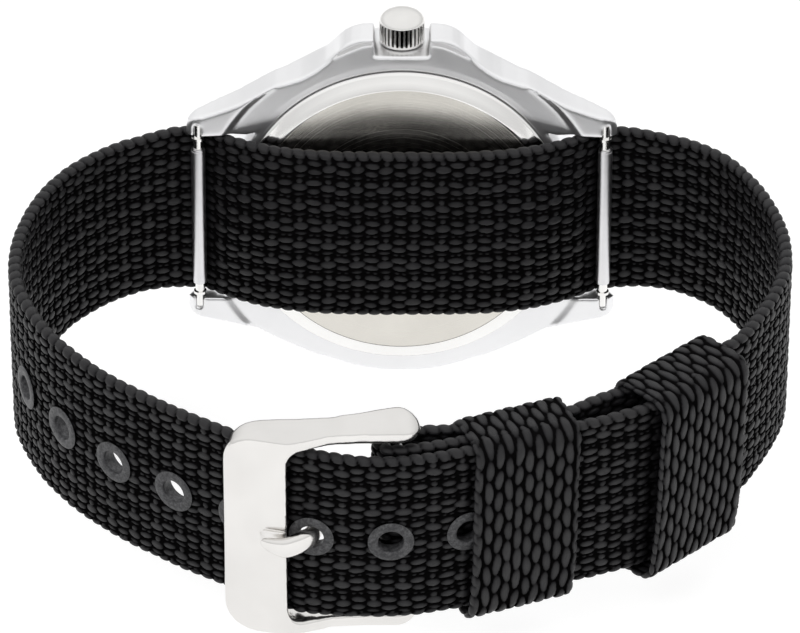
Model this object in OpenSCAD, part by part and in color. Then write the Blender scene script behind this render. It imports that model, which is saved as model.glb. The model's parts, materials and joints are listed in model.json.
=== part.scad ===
// Quartz wristwatch, crown up, buckled on a one-piece webbing strap.
// Case pieces are drawn in the case's own axes: x to 3 o'clock, y to 12 o'clock, z to the dial,
// with the origin midway between the two lug bars. The strap and buckle are drawn in a loop plane
// that hangs from the bars and drops towards the buckle.

/* [Case] */
// Radius of the round case barrel
case_r = 19.2; // [18.7:0.1:20]
// Height of the case's back face above the lug bars' axis
back_face_z = 0.1; // [0:0.05:0.2]
// Height of the mid case above the lug bars' axis
case_top_z = 6.9; // [6.8:0.1:7.4]
// Distance from the case centre to each lug bar
lug_bar_y = 21.2; // [21:0.1:22]
// Width between the lugs
lug_gap = 20; // [19:0.5:22]
// Thickness of a lug at its tip
lug_wall = 2.2; // [2:0.1:2.8]
// Distance of the lug tips past the lug bars
lug_tip = 1.2; // [1:0.1:1.6]
// Distance from the centre to the outside of the crown guards
guard_x = 21.1; // [20.9:0.1:21.6]
// Wall between the movement ring and the outside between the lugs
slot_r = 18.6; // [18.4:0.1:18.8]
// Inner radius of the case, round the movement ring
bore_r = 15.2; // [15.1:0.05:15.4]
// Outer radius of the polished ring on the case back
back_ring_r = 17.2; // [17:0.1:17.3]
// Radius of the flat disc of the case back
back_disc_r = 15.5; // [15:0.1:16]
// Height of the case back's flat disc below the lug bars' axis
back_drop = 1.0; // [0.9:0.05:1.1]
// Thickness of the case back
back_t = 0.8; // [0.7:0.05:0.9]
// Height of the bezel
bezel_h = 1.9; // [1.8:0.1:2.4]
// Outer radius of the bezel's foot
bezel_r = 18.5; // [18:0.1:18.7]
// Radius of the crystal
crystal_r = 16.2; // [16:0.1:16.5]
// Thickness of the crystal
crystal_t = 1.6; // [1.2:0.1:1.7]

/* [Crown] */
// Radius of the crown over its flutes
crown_r = 2.35; // [2.2:0.05:2.5]
// Length of the fluted part of the crown
crown_h = 2.1; // [1.9:0.1:2.4]
// Height of the crown's domed cap
crown_cap = 0.65; // [0.5:0.05:0.8]
// Number of flutes round the crown
crown_flutes = 28; // [24:1:32]
// Height of the crown's axis above the lug bars' axis
crown_z = 3.6; // [3.5:0.05:3.7]
// Half width of the notch that holds the crown
notch_half = 2.85; // [2.75:0.05:3]
// Distance from the centre to the floor of the crown's notch
notch_x = 18.9; // [18.8:0.1:19.1]
// Travel of the crown when it is pulled
crown_travel = 1.0; // [0.6:0.1:1.1]

/* [Dial and hands] */
// Height of the dial's underside
dial_z = 4.7; // [4.7:0.05:4.8]
// Thickness of the dial
dial_t = 0.4; // [0.3:0.05:0.45]
// Inner radius of the chapter ring
chapter_r = 13.9; // [13.5:0.1:14.3]
// Length of the hour hand from the centre
hour_len = 8.2; // [7:0.1:9]
// Length of the minute hand from the centre
minute_len = 12.2; // [11:0.1:13]
// Length of the second hand from the centre
second_len = 12.8; // [11:0.1:13.2]

/* [Movement] */
// Radius of the main plate
plate_r = 12.8; // [12.6:0.1:12.9]
// Height of the main plate's underside
plate_z = 3.2; // [3.15:0.05:3.2]
// Height of the train bridge's underside
bridge_z = 1.3; // [1.25:0.05:1.35]
// Radius of the battery
battery_r = 3.95; // [3.8:0.05:4]
// Thickness of the battery
battery_h = 2.5; // [2.1:0.1:2.6]

/* [Strap] */
// Thickness of the webbing
strap_t = 1.5; // [1.3:0.1:1.6]
// Room between the webbing and each lug
strap_side_gap = 0.2; // [0.15:0.05:0.4]
// Gap between layers of webbing that lie on each other
layer_gap = 0.25; // [0.2:0.05:0.4]
// How far the webbing bulges over the case back, from the lug bars' axis
back_bulge = 3.75; // [3.6:0.05:4.2]
// How far the middle of the webbing bows out over the rim of the case back
rim_bow = 0.9; // [0.8:0.05:1.1]
// Angle at which the loop drops towards the buckle
loop_tilt = 4.5; // [3:0.5:6]
// Distance between eyelets along the strap
eyelet_pitch = 7.65; // [7.2:0.05:8]
// Outer radius of an eyelet's flange
eyelet_r = 2.2; // [2.1:0.05:2.3]
// Radius of an eyelet's hole
eyelet_hole_r = 1.08; // [1.05:0.01:1.15]
// Wall of an eyelet's barrel
eyelet_wall = 0.3; // [0.2:0.05:0.35]
// Thickness of an eyelet's flange
eyelet_lip = 0.18; // [0.15:0.01:0.22]
// Length of each keeper along the strap
keeper_len = 10.6; // [9.5:0.1:11]
// Thickness of a keeper's webbing
keeper_t = 1.0; // [0.8:0.1:1.2]

/* [Buckle] */
// Distance from the watch's centre line to the buckle's bar, towards 6 o'clock
buckle_bar_x = -0.6; // [-1:0.1:0]
// Distance of the buckle's bar from the lug bars, along the loop
buckle_bar_q = 51.3; // [50.5:0.1:52]
// Width of the buckle's arms
arm_w = 1.4; // [1.2:0.1:1.6]
// Thickness of the buckle's front plate
plate_t = 1.05; // [0.9:0.05:1.1]
// Thickness of the tang
tang_t = 0.85; // [0.7:0.05:0.9]
// Width of the tang
tang_w = 1.7; // [1.4:0.1:1.8]

/* [Spring bars] */
// Radius of the tubes of the spring bars
bar_r = 0.75; // [0.7:0.01:0.8]
// Radius of the pins inside the tubes
pin_r = 0.5; // [0.46:0.01:0.52]
// Radius of the pins' tips
tip_r = 0.38; // [0.34:0.01:0.4]
// Travel of each pin into its tube
pin_travel = 0.85; // [0.6:0.05:0.9]
// Turns of the coil spring inside each tube
spring_turns = 9; // [7:1:11]

/* [Hidden] */
$fn = 96;

// Small clearances
run_gap = 0.02;
fit_gap = 0.01;
seat_gap = 0.05;
slip_gap = 0.05;
tip_gap = 0.07;

// Case heights and radii that follow from the sizes above
back_z = -back_drop;
back_rim_z = -0.25;
back_inner_z = back_z + back_t;
snap_ledge = 1.1;
snap_r = bore_r + snap_ledge;
snap_top_z = 1.5;
snap_wall = 0.7;
lug_back_z = -0.4;
lug_drill = 1.3;
lug_nose_z = 1.3;
lug_end_y = lug_bar_y + lug_tip;
lug_out_x = lug_gap / 2 + lug_wall;
cut_over = 4;
back_seam = 0.02;
back_groove_r = back_ring_r + 0.7;
gasket_seat_r = snap_r + 0.75;
gasket_seat_h = 0.55;
gasket_wire_r = 0.24;
barrel_bevel = 0.7;
barrel_top_z = case_top_z - 2.3;
bezel_seat_r = bezel_r + 0.3;
seat_r = bore_r + 0.1;
crystal_wall = 0.3;
bezel_lip_r = crystal_r + crystal_wall + 0.02;
crystal_bevel = 0.2;
dial_top_z = dial_z + dial_t;
crystal_seat = 0.5;
crystal_z = case_top_z + crystal_seat;
hour_hand_z = dial_top_z + 0.45;
minute_hand_z = dial_top_z + 0.85;
second_hand_z = dial_top_z + 1.25;
hand_t = 0.15;
tube_r = 0.95;
tube_bore_r = 0.65;
stem_r = 0.45;
stem_hole_r = stem_r + slip_gap;
groove_r = 0.22;
groove_x = 9.25;
groove_half = 0.22;
stem_x = 5.35;
clutch_x = 6.15;
crown_x = notch_x + 0.25;
crown_cavity_r = 1.4;

// Train: teeth, modules and centre distances
rotor_teeth = 6;
fifth_teeth = 36;
fifth_pinion_teeth = 8;
second_teeth = 40;
second_pinion_teeth = 8;
third_teeth = 60;
third_pinion_teeth = 8;
centre_teeth = 64;
cannon_teeth = 10;
minute_teeth = 30;
minute_pinion_teeth = 8;
hour_teeth = 32;
setting_teeth = 16;
gear_m = 0.1;
second_m = 0.14;
third_dist = gear_m * (second_pinion_teeth + third_teeth) / 2;
centre_m = 2 * third_dist / (third_pinion_teeth + centre_teeth);
fifth_dist = second_m * (fifth_pinion_teeth + second_teeth) / 2;
rotor_dist = gear_m * (rotor_teeth + fifth_teeth) / 2;
minute_dist = gear_m * (cannon_teeth + minute_teeth) / 2;
setting_dist = gear_m * (minute_teeth + setting_teeth) / 2;
setting_m_r = gear_m * (setting_teeth + 2) / 2;
fifth_dir = 200;
rotor_dir = 140;
third_dir = 75;
fifth_at = fifth_dist * [cos(fifth_dir), sin(fifth_dir)];
rotor_at = fifth_at + rotor_dist * [cos(rotor_dir), sin(rotor_dir)];
third_at = third_dist * [cos(third_dir), sin(third_dir)];
minute_at = [minute_dist, 0];
setting_at = [minute_dist + setting_dist, 0];
arbor_r = 0.15;
cannon_bore_r = arbor_r + run_gap;
cannon_r = 0.34;
hour_tube_bore_r = cannon_r + run_gap;
hour_tube_r = 0.62;
bridge_t = 0.3;
motion_z = 3.9;
motion_r = 3.85;
battery_at = [-3.4, -7.9];
coil_at = [-7.6, 3.4];
can_at = [6.6, -8.6];
lever_pivot = [groove_x + crown_travel / 2, 3.0];

screw_at = [[-10.9, -0.8], [10.4, 5.4], [2.2, 11.2]];
screw_r = 0.5;
screw_len = 2.2;
head_h = 0.3;
board_t = 0.3;
board_z = bridge_z - board_t - seat_gap;
pivot_len = 0.35;
coil_room = [3.2, 11.2];
clutch_teeth = 12;
clutch_m = 0.13;
clutch_r = clutch_m * (clutch_teeth / 2 + 0.75);
clutch_len = 1.5;
lever_pin_y = 0.45;
lever_reach = lever_pivot[1] - lever_pin_y;
holder_r = bore_r - 0.75;

// Spring bars
bar_half = lug_gap / 2;
shoulder_at = 0.55;
shoulder_t = 0.3;
collar_len = shoulder_at + shoulder_t + pin_travel + 0.2;
tube_half = bar_half - collar_len;
pin_in = 2.8;
spring_in = pin_in + 0.15;
tip_len = 0.95;
spring_wire_r = 0.07;

// Strap sections
strap_w = lug_gap - 2 * strap_side_gap;
strap_half = strap_w / 2;
layer_pitch = strap_t + layer_gap;
fold_gap = 0.15;
fold_r = bar_r + fold_gap + strap_t / 2;
wrap_gap = 0.2;
wrap_r = bar_r + wrap_gap + strap_t / 2;
wrap_angle = 42;
bulge_power = 3.4;
tang_reach = 8;
eyelets_before = 5;
eyelets_after = 2;
tang_side_gap = 0.25;

// The tail over the buckle: [distance right of the buckle's bar, drop below its highest point]
tail_left = [[-17.23, 5.16], [-13.86, 3.02], [-10.49, 1.54], [-7.32, 0.6], [-3.36, 0]];
tail_right = [[0.59, 0.05], [4.55, 0.88], [8.51, 2.19], [12.47, 3.73], [16.44, 5.27], [20.41, 6.7],
    [24.38, 8.56], [28.36, 11.21], [31.35, 13.96], [34.15, 17.27]];
// The sides of the loop: [distance outside the lug bar, depth along the loop]
right_side = [[12.87, 33.93], [14.89, 30.06], [16.5, 26.3], [17.5, 22.75], [17.8, 19.4], [17.5, 15.6],
    [16.65, 11.84], [14.95, 7.37], [12.39, 3.19], [9, 0.4], [5.79, -0.95], [2.8, -1.67]];
left_side = [[2.6, -1.44], [5.6, -0.32], [8.4, 1.15], [11.19, 3.42], [13.76, 6.43], [15.92, 10.62],
    [17.38, 15.63], [17.94, 20.64], [17.61, 25.08], [16.29, 29.18], [14.17, 33.6], [11.16, 37.8],
    [7.57, 41.55], [3.58, 44.8], [0.2, 47.27]];

buckle_stack = fold_r + layer_pitch;
tail_top_q = buckle_bar_q + buckle_stack;
tail_right_pts = [for (p = tail_right) [buckle_bar_x + p[0], tail_top_q - p[1]]];
tail_left_pts = [for (p = tail_left) [buckle_bar_x + p[0], tail_top_q - p[1]]];

// Smooth steps and plane curves
function clamp01(t) = max(0, min(1, t));
function smooth(t) = let (u = clamp01(t)) u * u * (3 - 2 * u);
function unit(v) = v / norm(v);
function turn_in(v) = [v[1], -v[0]];
function slope_at(pts, i) = unit(pts[min(i + 1, len(pts) - 1)] - pts[max(i - 1, 0)]);
function inset(pts, i, d) = pts[i] + d * turn_in(slope_at(pts, i));
function spline_point(a, b, c, d, t) =
    0.5 * ((2 * b) + (c - a) * t + (2 * a - 5 * b + 4 * c - d) * t * t
    + (3 * b - a - 3 * c + d) * t * t * t);
function spline(pts, n) = [
    for (i = [0:len(pts) - 2], k = [0:n - 1])
        spline_point(pts[max(i - 1, 0)], pts[i], pts[i + 1], pts[min(i + 2, len(pts) - 1)], k / n),
    pts[len(pts) - 1]];

// Centre line of the webbing in the loop plane, from the sewn fold to the tail's end
tang_gap_pts = 2;
fold_back = [for (i = [4:-1:tang_gap_pts]) inset(tail_right_pts, i, 2 * layer_pitch)];
fold_arc = [for (a = [-90:-45:-270])
    [buckle_bar_x + fold_r * cos(a), buckle_bar_q + fold_r * sin(a)]];
inner_layer = [for (i = [1:len(tail_right_pts) - 1]) inset(tail_right_pts, i, layer_pitch)];
wrap_in_x = lug_bar_y - wrap_r * sin(wrap_angle);
wrap_in_q = -wrap_r * cos(wrap_angle);
right_wrap = [for (a = [0:wrap_angle / 2:wrap_angle])
    [lug_bar_y - wrap_r * sin(a), -wrap_r * cos(a)]];
left_wrap = [for (i = [len(right_wrap) - 1:-1:0]) [-right_wrap[i][0], right_wrap[i][1]]];
over_back = [for (u = [0.9:-0.15:-0.9])
    [u * wrap_in_x, wrap_in_q + (back_bulge - wrap_in_q) * (1 - pow(abs(u), bulge_power))]];
route = concat(
    fold_back,
    [[buckle_bar_x + 2.6, buckle_bar_q - fold_r + 0.05]],
    fold_arc,
    inner_layer,
    [for (p = right_side) [lug_bar_y + p[0], p[1]]],
    right_wrap,
    over_back,
    left_wrap,
    [for (p = left_side) [-lug_bar_y - p[0], p[1]]],
    tail_left_pts,
    tail_right_pts);
line = spline(route, 2);
lengths = [for (i = 0, s = 0; i < len(line);
    s = s + (i < len(line) - 1 ? norm(line[i + 1] - line[i]) : 0), i = i + 1) s];
tail_start = 2 * (len(route) - len(tail_left_pts) - len(tail_right_pts) - len(left_side));

// Index, length, place and heading at a length along the strap
function index_at(s, i) = lengths[i + 1] >= s || i + 2 >= len(lengths) ? i : index_at(s, i + 1);
function part_at(s, i) = (s - lengths[i]) / (lengths[i + 1] - lengths[i]);
function point_at(s) = let (i = index_at(s, 0)) line[i] + part_at(s, i) * (line[i + 1] - line[i]);
function heading_at(s) = let (v = point_at(s + 1) - point_at(s - 1)) atan2(-v[1], v[0]);
function index_of_x(x, i) = line[i + 1][0] >= x ? i : index_of_x(x, i + 1);
front_start = tail_start + 2 * (len(left_side) - 4);
function length_at_x(x) = let (i = index_of_x(x, front_start))
    lengths[i] + (lengths[i + 1] - lengths[i]) * (x - line[i][0]) / (line[i + 1][0] - line[i][0]);
tang_hole_s = length_at_x(buckle_bar_x - tang_reach);

// The pressed eyelets flatten the webbing under their flanges
flat_half = eyelet_r + 0.2;
eyelet_lengths = [for (k = [-eyelets_before:eyelets_after]) tang_hole_s + k * eyelet_pitch];
function off_flats(s) = min([for (e = eyelet_lengths) abs(s - e)]) > flat_half + 0.4;
// Each flat passes through the curve at its eyelet: [length, place] of its two ends
flat_ends = [for (e = eyelet_lengths)
    let (a = point_at(e - flat_half), b = point_at(e + flat_half), lift = point_at(e) - (a + b) / 2)
    each [[e - flat_half, a + lift], [e + flat_half, b + lift]]];
band_line = [for (i = [0:len(line) - 1]) each concat(
    off_flats(lengths[i]) ? [line[i]] : [],
    i + 1 < len(line) ? [for (e = flat_ends) if (e[0] > lengths[i] && e[0] <= lengths[i + 1]) e[1]] : [])];

// Lean of the webbing: upright over the case back, leaning with the loop from there on
lean_run = 7;
function lean_at(p) = p[1] >= 10 ? loop_tilt : loop_tilt * smooth((abs(p[0]) - lug_bar_y) / lean_run);
function bow_at(p) = abs(p[0]) > lug_bar_y || p[1] > 10 ? 0
    : rim_bow * smooth((lug_bar_y - 1.2 - abs(p[0])) / 2.6)
    * (0.35 + 0.65 * smooth((abs(p[0]) - 8) / 6));
function in_space(p, w, lean) = [p[0],
    -p[1] * cos(lean) - w * sin(lean),
    -p[1] * sin(lean) + w * cos(lean)];

// One ring of the webbing: [share of the half width, share of the thickness]
edge_round = 0.5;
ring_shape = [[-1, -0.5], [-1 + edge_round / strap_half, -1], [0, -1],
    [1 - edge_round / strap_half, -1], [1, -0.5], [1, 0.5], [1 - edge_round / strap_half, 1],
    [0, 1], [-1 + edge_round / strap_half, 1], [-1, 0.5]];
function strap_ring(i) = let (
    p = band_line[i],
    n = turn_in(slope_at(band_line, i)),
    lean = lean_at(p),
    bow = bow_at(p))
    [for (c = ring_shape)
        in_space(p + n * c[1] * strap_t / 2 + [0, bow * (1 - abs(c[0]))], c[0] * strap_half, lean)];

// Where the finished watch stands: the middle of its box, on its lowest point
strap_points = [for (i = [0:len(band_line) - 1]) each strap_ring(i)];
strap_xs = [for (p = strap_points) p[0]];
watch_x = (min(strap_xs) + max(strap_xs)) / 2;
crystal_top_z = crystal_z + crystal_t;
frame_gap = 0.8;
buckle_bar_half = strap_half + frame_gap;
frame_half = buckle_bar_half + arm_w;
plate_gap = 0.34;
plate_sink = 1.45;
buckle_tube_half = buckle_bar_half - collar_len;
plate_q = buckle_stack - plate_sink + strap_t / 2 + plate_gap;
front_q = buckle_bar_q + plate_q + plate_t;
front_y = -front_q * cos(loop_tilt) - frame_half * sin(loop_tilt);
watch_y = (front_y + crystal_top_z) / 2;
stand_z = max(case_r, front_q * sin(loop_tilt) + frame_half * cos(loop_tilt));

// The case's axes laid into the watch's: 3 o'clock up, 12 o'clock to the right
module case_axes() {
    rotate([-90, -90, 0]) children();
}

// The loop plane: x to the right, y away from the buckle, z across the strap
module loop_axes() {
    rotate([loop_tilt, 0, 0]) children();
}

// A place on the strap's centre line, with -y out of the strap
module on_strap(s) {
    p = point_at(s);
    loop_axes() translate([p[0], -p[1], 0]) rotate([0, 0, heading_at(s)]) children();
}

// A ring or tube standing on z
module tube(r_out, r_in, h) {
    difference() {
        cylinder(r = r_out, h = h);
        translate([0, 0, -1]) cylinder(r = r_in, h = h + 2);
    }
}

// A spur gear with straight-sided teeth; turn puts a tooth on that angle
module gear(teeth, m, h, turn, bore) {
    pitch_r = m * teeth / 2;
    step = 360 / teeth;
    linear_extrude(h) difference() {
        polygon([for (i = [0:teeth - 1], c = [[-0.27, -1.05], [-0.13, 0.75], [0.13, 0.75], [0.27, -1.05]])
            let (a = turn + (i + c[0]) * step, r = pitch_r + m * c[1]) [r * cos(a), r * sin(a)]]);
        circle(r = bore, $fn = 32);
    }
}

// A rectangle with round corners, centred
module round_rect(w, h, r) {
    square([w - 2 * r, h], center = true);
    square([w, h - 2 * r], center = true);
    for (x = [-1, 1], y = [-1, 1]) translate([x * (w / 2 - r), y * (h / 2 - r)]) circle(r = r);
}

// Outline of one quarter of the mid case, [x, y], on the side with the crown guards
guard_flank = [[guard_x, notch_half], [guard_x, 5.2], [guard_x - 0.7, 6.4], [guard_x - 2.3, 7.9],
    [guard_x - 3.9, 10.3], [lug_out_x + 3.9, lug_bar_y - 8.1], [lug_out_x + 2.8, lug_bar_y - 6.3],
    [lug_out_x + 1.7, lug_bar_y - 4.4], [lug_out_x + 0.6, lug_bar_y - 1.9], [lug_out_x, lug_end_y - 0.9]];
// The same quarter on the plain side, round the barrel for the first few degrees
plain_flank = concat([for (a = [0:6:24]) case_r * [cos(a), sin(a)]],
    [case_r * [cos(28), sin(28)] + [0.15, 0.2], [lug_out_x + 3.0, lug_bar_y - 8.1],
    [lug_out_x + 1.75, lug_bar_y - 6], [lug_out_x + 1.0, lug_bar_y - 4.1],
    [lug_out_x + 0.4, lug_bar_y - 1.5], [lug_out_x, lug_end_y - 0.9]]);
lug_nose = [[lug_out_x - 0.35, lug_end_y - 0.2], [lug_out_x - 0.9, lug_end_y],
    [lug_gap / 2 - 1, lug_end_y]];
guard_side = concat(spline(guard_flank, 2), lug_nose);
plain_side = concat(spline(plain_flank, 2), lug_nose);
function backwards(pts) = [for (i = [len(pts) - 1:-1:0]) pts[i]];
function scaled(pts, sx, sy) = [for (p = pts) [sx * p[0], sy * p[1]]];
case_outline = concat(backwards(scaled(guard_side, 1, -1)), guard_side,
    [for (i = [len(plain_side) - 1:-1:1]) [-plain_side[i][0], plain_side[i][1]]],
    scaled(plain_side, -1, -1));

// Side view of the lugs, [y, z], seen along the lug bars
lug_top = [[0, case_top_z], [lug_bar_y - 9.2, case_top_z - 1], [lug_bar_y - 5.2, case_top_z - 2.5],
    [lug_bar_y - 2.2, lug_nose_z + 1.7], [lug_bar_y + 0.2, lug_nose_z + 0.6], [lug_end_y - 0.4, lug_nose_z]];
lug_under = [[0, lug_back_z], [lug_end_y - 1.5, lug_back_z], [lug_end_y - 0.5, lug_back_z + 0.35],
    [lug_end_y, lug_back_z + 0.95]];
lug_profile = concat(lug_under, backwards(lug_top));

// Turned facets that trim the lugs: [radius, height]
lug_facets = [[0, back_face_z], [case_r + 1.4, back_face_z], [case_r + 2.1, lug_back_z],
    [lug_end_y + cut_over, lug_back_z], [lug_end_y + cut_over, lug_nose_z + 0.3],
    [case_r + 2.6, lug_nose_z + 1.9], [case_r + 1.2, lug_nose_z + 2.7], [bezel_seat_r, case_top_z],
    [0, case_top_z]];
barrel_section = [[bore_r, back_face_z], [case_r - 1, back_face_z], [case_r, back_face_z + barrel_bevel],
    [case_r, barrel_top_z], [bezel_seat_r, case_top_z], [bore_r, case_top_z]];
// Bevel between the lugs that leads the strap under the case back's rim
slot_bevel = [[0, back_face_z - 1], [back_groove_r - 0.1, back_face_z - 1],
    [back_groove_r - 0.1, back_face_z], [slot_r, back_face_z + 1.4], [slot_r, case_top_z],
    [0, case_top_z]];

module mid_case() color("silver") difference() {
    union() {
        intersection() {
            translate([0, 0, lug_back_z]) linear_extrude(case_top_z - lug_back_z) polygon(case_outline);
            rotate([90, 0, 90]) translate([0, 0, -guard_x - 1]) linear_extrude(2 * guard_x + 2)
                lug_side_view();
            rotate_extrude() polygon(lug_facets);
        }
        rotate_extrude() polygon(barrel_section);
    }
    translate([0, 0, lug_back_z - 1]) {
        cylinder(r = bore_r, h = case_top_z + cut_over);
        cylinder(r = snap_r + seat_gap, h = snap_top_z + 0.1 - lug_back_z + 1);
        cylinder(r = back_groove_r, h = back_face_z + back_seam - lug_back_z + 1);
    }
    translate([0, 0, back_face_z]) tube(gasket_seat_r, bore_r, gasket_seat_h);
    for (side = [1, -1]) lug_slot(side);
    // The crown's notch, the crown tube's bore and the lugs' drillings
    translate([notch_x, -notch_half, lug_back_z - 1])
        cube([guard_x - notch_x + cut_over, 2 * notch_half, case_top_z + cut_over]);
    translate([bore_r - 1, 0, crown_z]) rotate([0, 90, 0])
        cylinder(r = tube_r + fit_gap, h = notch_x - bore_r + 2);
    for (y = [-lug_bar_y, lug_bar_y], x = [-1, 1])
        translate([x * (lug_gap / 2 - 0.5), y, 0]) rotate([0, x * 90, 0])
            cylinder(r = tip_r + tip_gap, h = lug_drill + 0.5);
}

module lug_side_view() {
    polygon(lug_profile);
    mirror([1, 0]) polygon(lug_profile);
}

// The room between two lugs
module lug_slot(side) intersection() {
    translate([-lug_gap / 2, side > 0 ? 0 : -2 * lug_end_y, lug_back_z - 1])
        cube([lug_gap, 2 * lug_end_y, case_top_z + cut_over]);
    difference() {
        translate([0, 0, lug_back_z - 1]) cylinder(r = 2 * lug_end_y, h = case_top_z + cut_over);
        rotate_extrude() polygon(slot_bevel);
    }
}

// Sections of the pieces turned about the case's axis: [radius, height]
bezel_bevel = min(1.6, 0.81 * (bezel_r - bezel_lip_r));
bezel_section = [[seat_r, 0], [bezel_r, 0], [bezel_r + 0.15, 0.35], [bezel_r - 0.22 * bezel_bevel, 0.9],
    [bezel_r - 0.78 * bezel_bevel, bezel_h - 0.1], [bezel_r - bezel_bevel, bezel_h],
    [bezel_lip_r, bezel_h], [bezel_lip_r, crystal_seat], [seat_r, crystal_seat]];
module bezel() color("gainsboro") translate([0, 0, case_top_z]) rotate_extrude() polygon(bezel_section);

crystal_section = [[0, seat_gap], [crystal_r, seat_gap], [crystal_r, crystal_t - crystal_bevel],
    [crystal_r - crystal_bevel, crystal_t], [0, crystal_t]];
module crystal() color([0.8, 0.9, 0.95, 0.4]) translate([0, 0, crystal_z]) rotate_extrude()
    polygon(crystal_section);

module crystal_gasket() color("white") translate([0, 0, crystal_z + seat_gap])
    tube(crystal_r + crystal_wall, crystal_r + fit_gap, bezel_h - crystal_seat - 0.25);

chapter_h = crystal_z - dial_top_z - seat_gap;
chapter_section = [[chapter_r, 0], [bore_r - seat_gap, 0], [bore_r - seat_gap, chapter_h],
    [bore_r - 0.35, chapter_h], [chapter_r, 0.3]];
module chapter_ring() color("black") translate([0, 0, dial_top_z + fit_gap]) rotate_extrude()
    polygon(chapter_section);

// The dial and the two feet that hold it on the main plate
foot_r = 0.35;
foot_h = 0.9;
foot_at_r = plate_r - 1.4;
foot_angles = [60, 240];
module dial() color("black") {
    translate([0, 0, dial_z]) tube(bore_r - 0.1, hour_tube_r + 0.25, dial_t);
    for (a = foot_angles) rotate(a) translate([foot_at_r, 0, dial_z - foot_h])
        cylinder(r = foot_r, h = foot_h + dial_t / 2);
}

// Bars at the twelve hours, larger at every third one
marker_r = chapter_r - 1;
marker_h = 0.25;
small_marker = [1.9, 0.7];
large_marker = [2.6, 1.1];
module hour_markers() color("ivory") for (i = [0:11]) {
    size = i % 3 == 0 ? large_marker : small_marker;
    rotate(i * 30) translate([marker_r - size[0], -size[1] / 2, dial_top_z + fit_gap])
        cube([size[0], size[1], marker_h]);
}

case_back_section = [[0, back_z], [back_disc_r, back_z], [back_ring_r, back_rim_z],
    [back_ring_r, back_face_z - back_seam], [snap_r, back_face_z - back_seam], [snap_r, snap_top_z - 0.5],
    [snap_r - 0.1, snap_top_z], [snap_r - snap_wall, snap_top_z], [snap_r - snap_wall, back_inner_z],
    [0, back_inner_z]];
module case_back() color("lightgray") rotate_extrude() polygon(case_back_section);

module case_back_gasket() color("black") translate([0, 0, back_face_z + gasket_seat_h / 2])
    rotate_extrude() translate([(snap_r + gasket_seat_r) / 2, 0]) circle(r = gasket_wire_r, $fn = 32);

// The crown's tube, from inside the movement ring to inside the crown
tube_in_x = bore_r - 0.6;
tube_out_x = crown_x + 1.2;
module crown_tube() color("silver") translate([tube_in_x, 0, crown_z]) rotate([0, 90, 0])
    tube(tube_r, tube_bore_r, tube_out_x - tube_in_x);

holder_z = bridge_z - 0.4;
module movement_holder() color("white") difference() {
    translate([0, 0, holder_z]) tube(holder_r, plate_r + 0.1, dial_z - seat_gap - holder_z);
    translate([0, 0, crown_z]) rotate([0, 90, 0]) cylinder(r = tube_r + 0.15, h = bore_r + cut_over);
}

// The main plate, its pillars and the recess for the motion work
post_r = 0.2;
pillar_r = 1.0;
plate_top_z = dial_z - 0.1;
module main_plate() color("goldenrod") difference() {
    union() {
        translate([0, 0, plate_z]) cylinder(r = plate_r, h = plate_top_z - plate_z);
        for (s = screw_at) translate([s[0], s[1], bridge_z + bridge_t + fit_gap])
            cylinder(r = pillar_r, h = plate_z - bridge_z - bridge_t);
    }
    difference() {
        motion_recess();
        for (p = [minute_at, setting_at]) translate([p[0], p[1], plate_z])
            cylinder(r = post_r, h = plate_top_z - plate_z);
    }
    translate([0, 0, plate_z - 1]) cylinder(r = cannon_r + run_gap, h = 3);
    for (p = [rotor_at, fifth_at, third_at]) translate([p[0], p[1], plate_z - 1])
        cylinder(r = arbor_r + run_gap, h = 1 + pivot_len + 0.05);
    keyless_recess();
    for (s = screw_at) translate([s[0], s[1], bridge_z]) cylinder(r = screw_r + fit_gap, h = screw_len + 0.4);
    for (a = foot_angles) rotate(a) translate([foot_at_r, 0, dial_z - foot_h - 0.1])
        cylinder(r = foot_r + fit_gap, h = foot_h + 1);
}

module motion_recess() translate([0, 0, motion_z]) {
    cylinder(r = motion_r, h = 2);
    translate([setting_at[0], setting_at[1], 0]) cylinder(r = setting_m_r + 0.15, h = 2);
}

// Stem channel, the clutch wheel's pocket and the slot for the lever's pin
module keyless_recess() {
    translate([stem_x - 0.1, 0, crown_z]) rotate([0, 90, 0]) cylinder(r = stem_hole_r, h = plate_r);
    translate([clutch_x - 0.1, -clutch_r - 0.22, plate_z - 1])
        cube([clutch_len + 0.2, 2 * (clutch_r + 0.22), plate_top_z - plate_z + 2]);
    translate([groove_x - 0.4, 0, plate_z - 1])
        cube([crown_travel + 1, lever_pin_y + 0.4, crown_z - plate_z + 1.7]);
}

// Flat pieces under the plate are cut away round the battery, the coil and the screws
module under_plate_cuts(wider) {
    translate([battery_at[0], battery_at[1], 0]) cylinder(r = battery_r + 0.2, h = plate_z);
    translate([coil_at[0] - coil_room[0] / 2 - wider, coil_at[1] - coil_room[1] / 2 - wider, 0])
        cube([coil_room[0] + 2 * wider, coil_room[1] + 2 * wider, plate_z]);
    for (s = screw_at) translate([s[0], s[1], 0]) cylinder(r = screw_r + fit_gap, h = plate_z);
}

pivots = [[0, 0], rotor_at, fifth_at, third_at];
module train_bridge() color("goldenrod") difference() {
    translate([0, 0, bridge_z]) cylinder(r = plate_r, h = bridge_t);
    under_plate_cuts(0);
    for (p = pivots) translate([p[0], p[1], 0]) cylinder(r = arbor_r + run_gap, h = plate_z);
}

module circuit_board() color("darkgreen") difference() {
    translate([0, 0, board_z]) cylinder(r = plate_r - 0.3, h = board_t);
    under_plate_cuts(0.1);
    for (p = pivots) translate([p[0], p[1], 0]) cylinder(r = 0.6, h = plate_z);
}

battery_z = plate_z - fit_gap - battery_h;
battery_step = 0.2;
module battery() color("silver") translate([battery_at[0], battery_at[1], battery_z]) {
    cylinder(r = battery_r * 0.8, h = battery_step);
    translate([0, 0, battery_step]) cylinder(r = battery_r, h = battery_h - battery_step);
}

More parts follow.
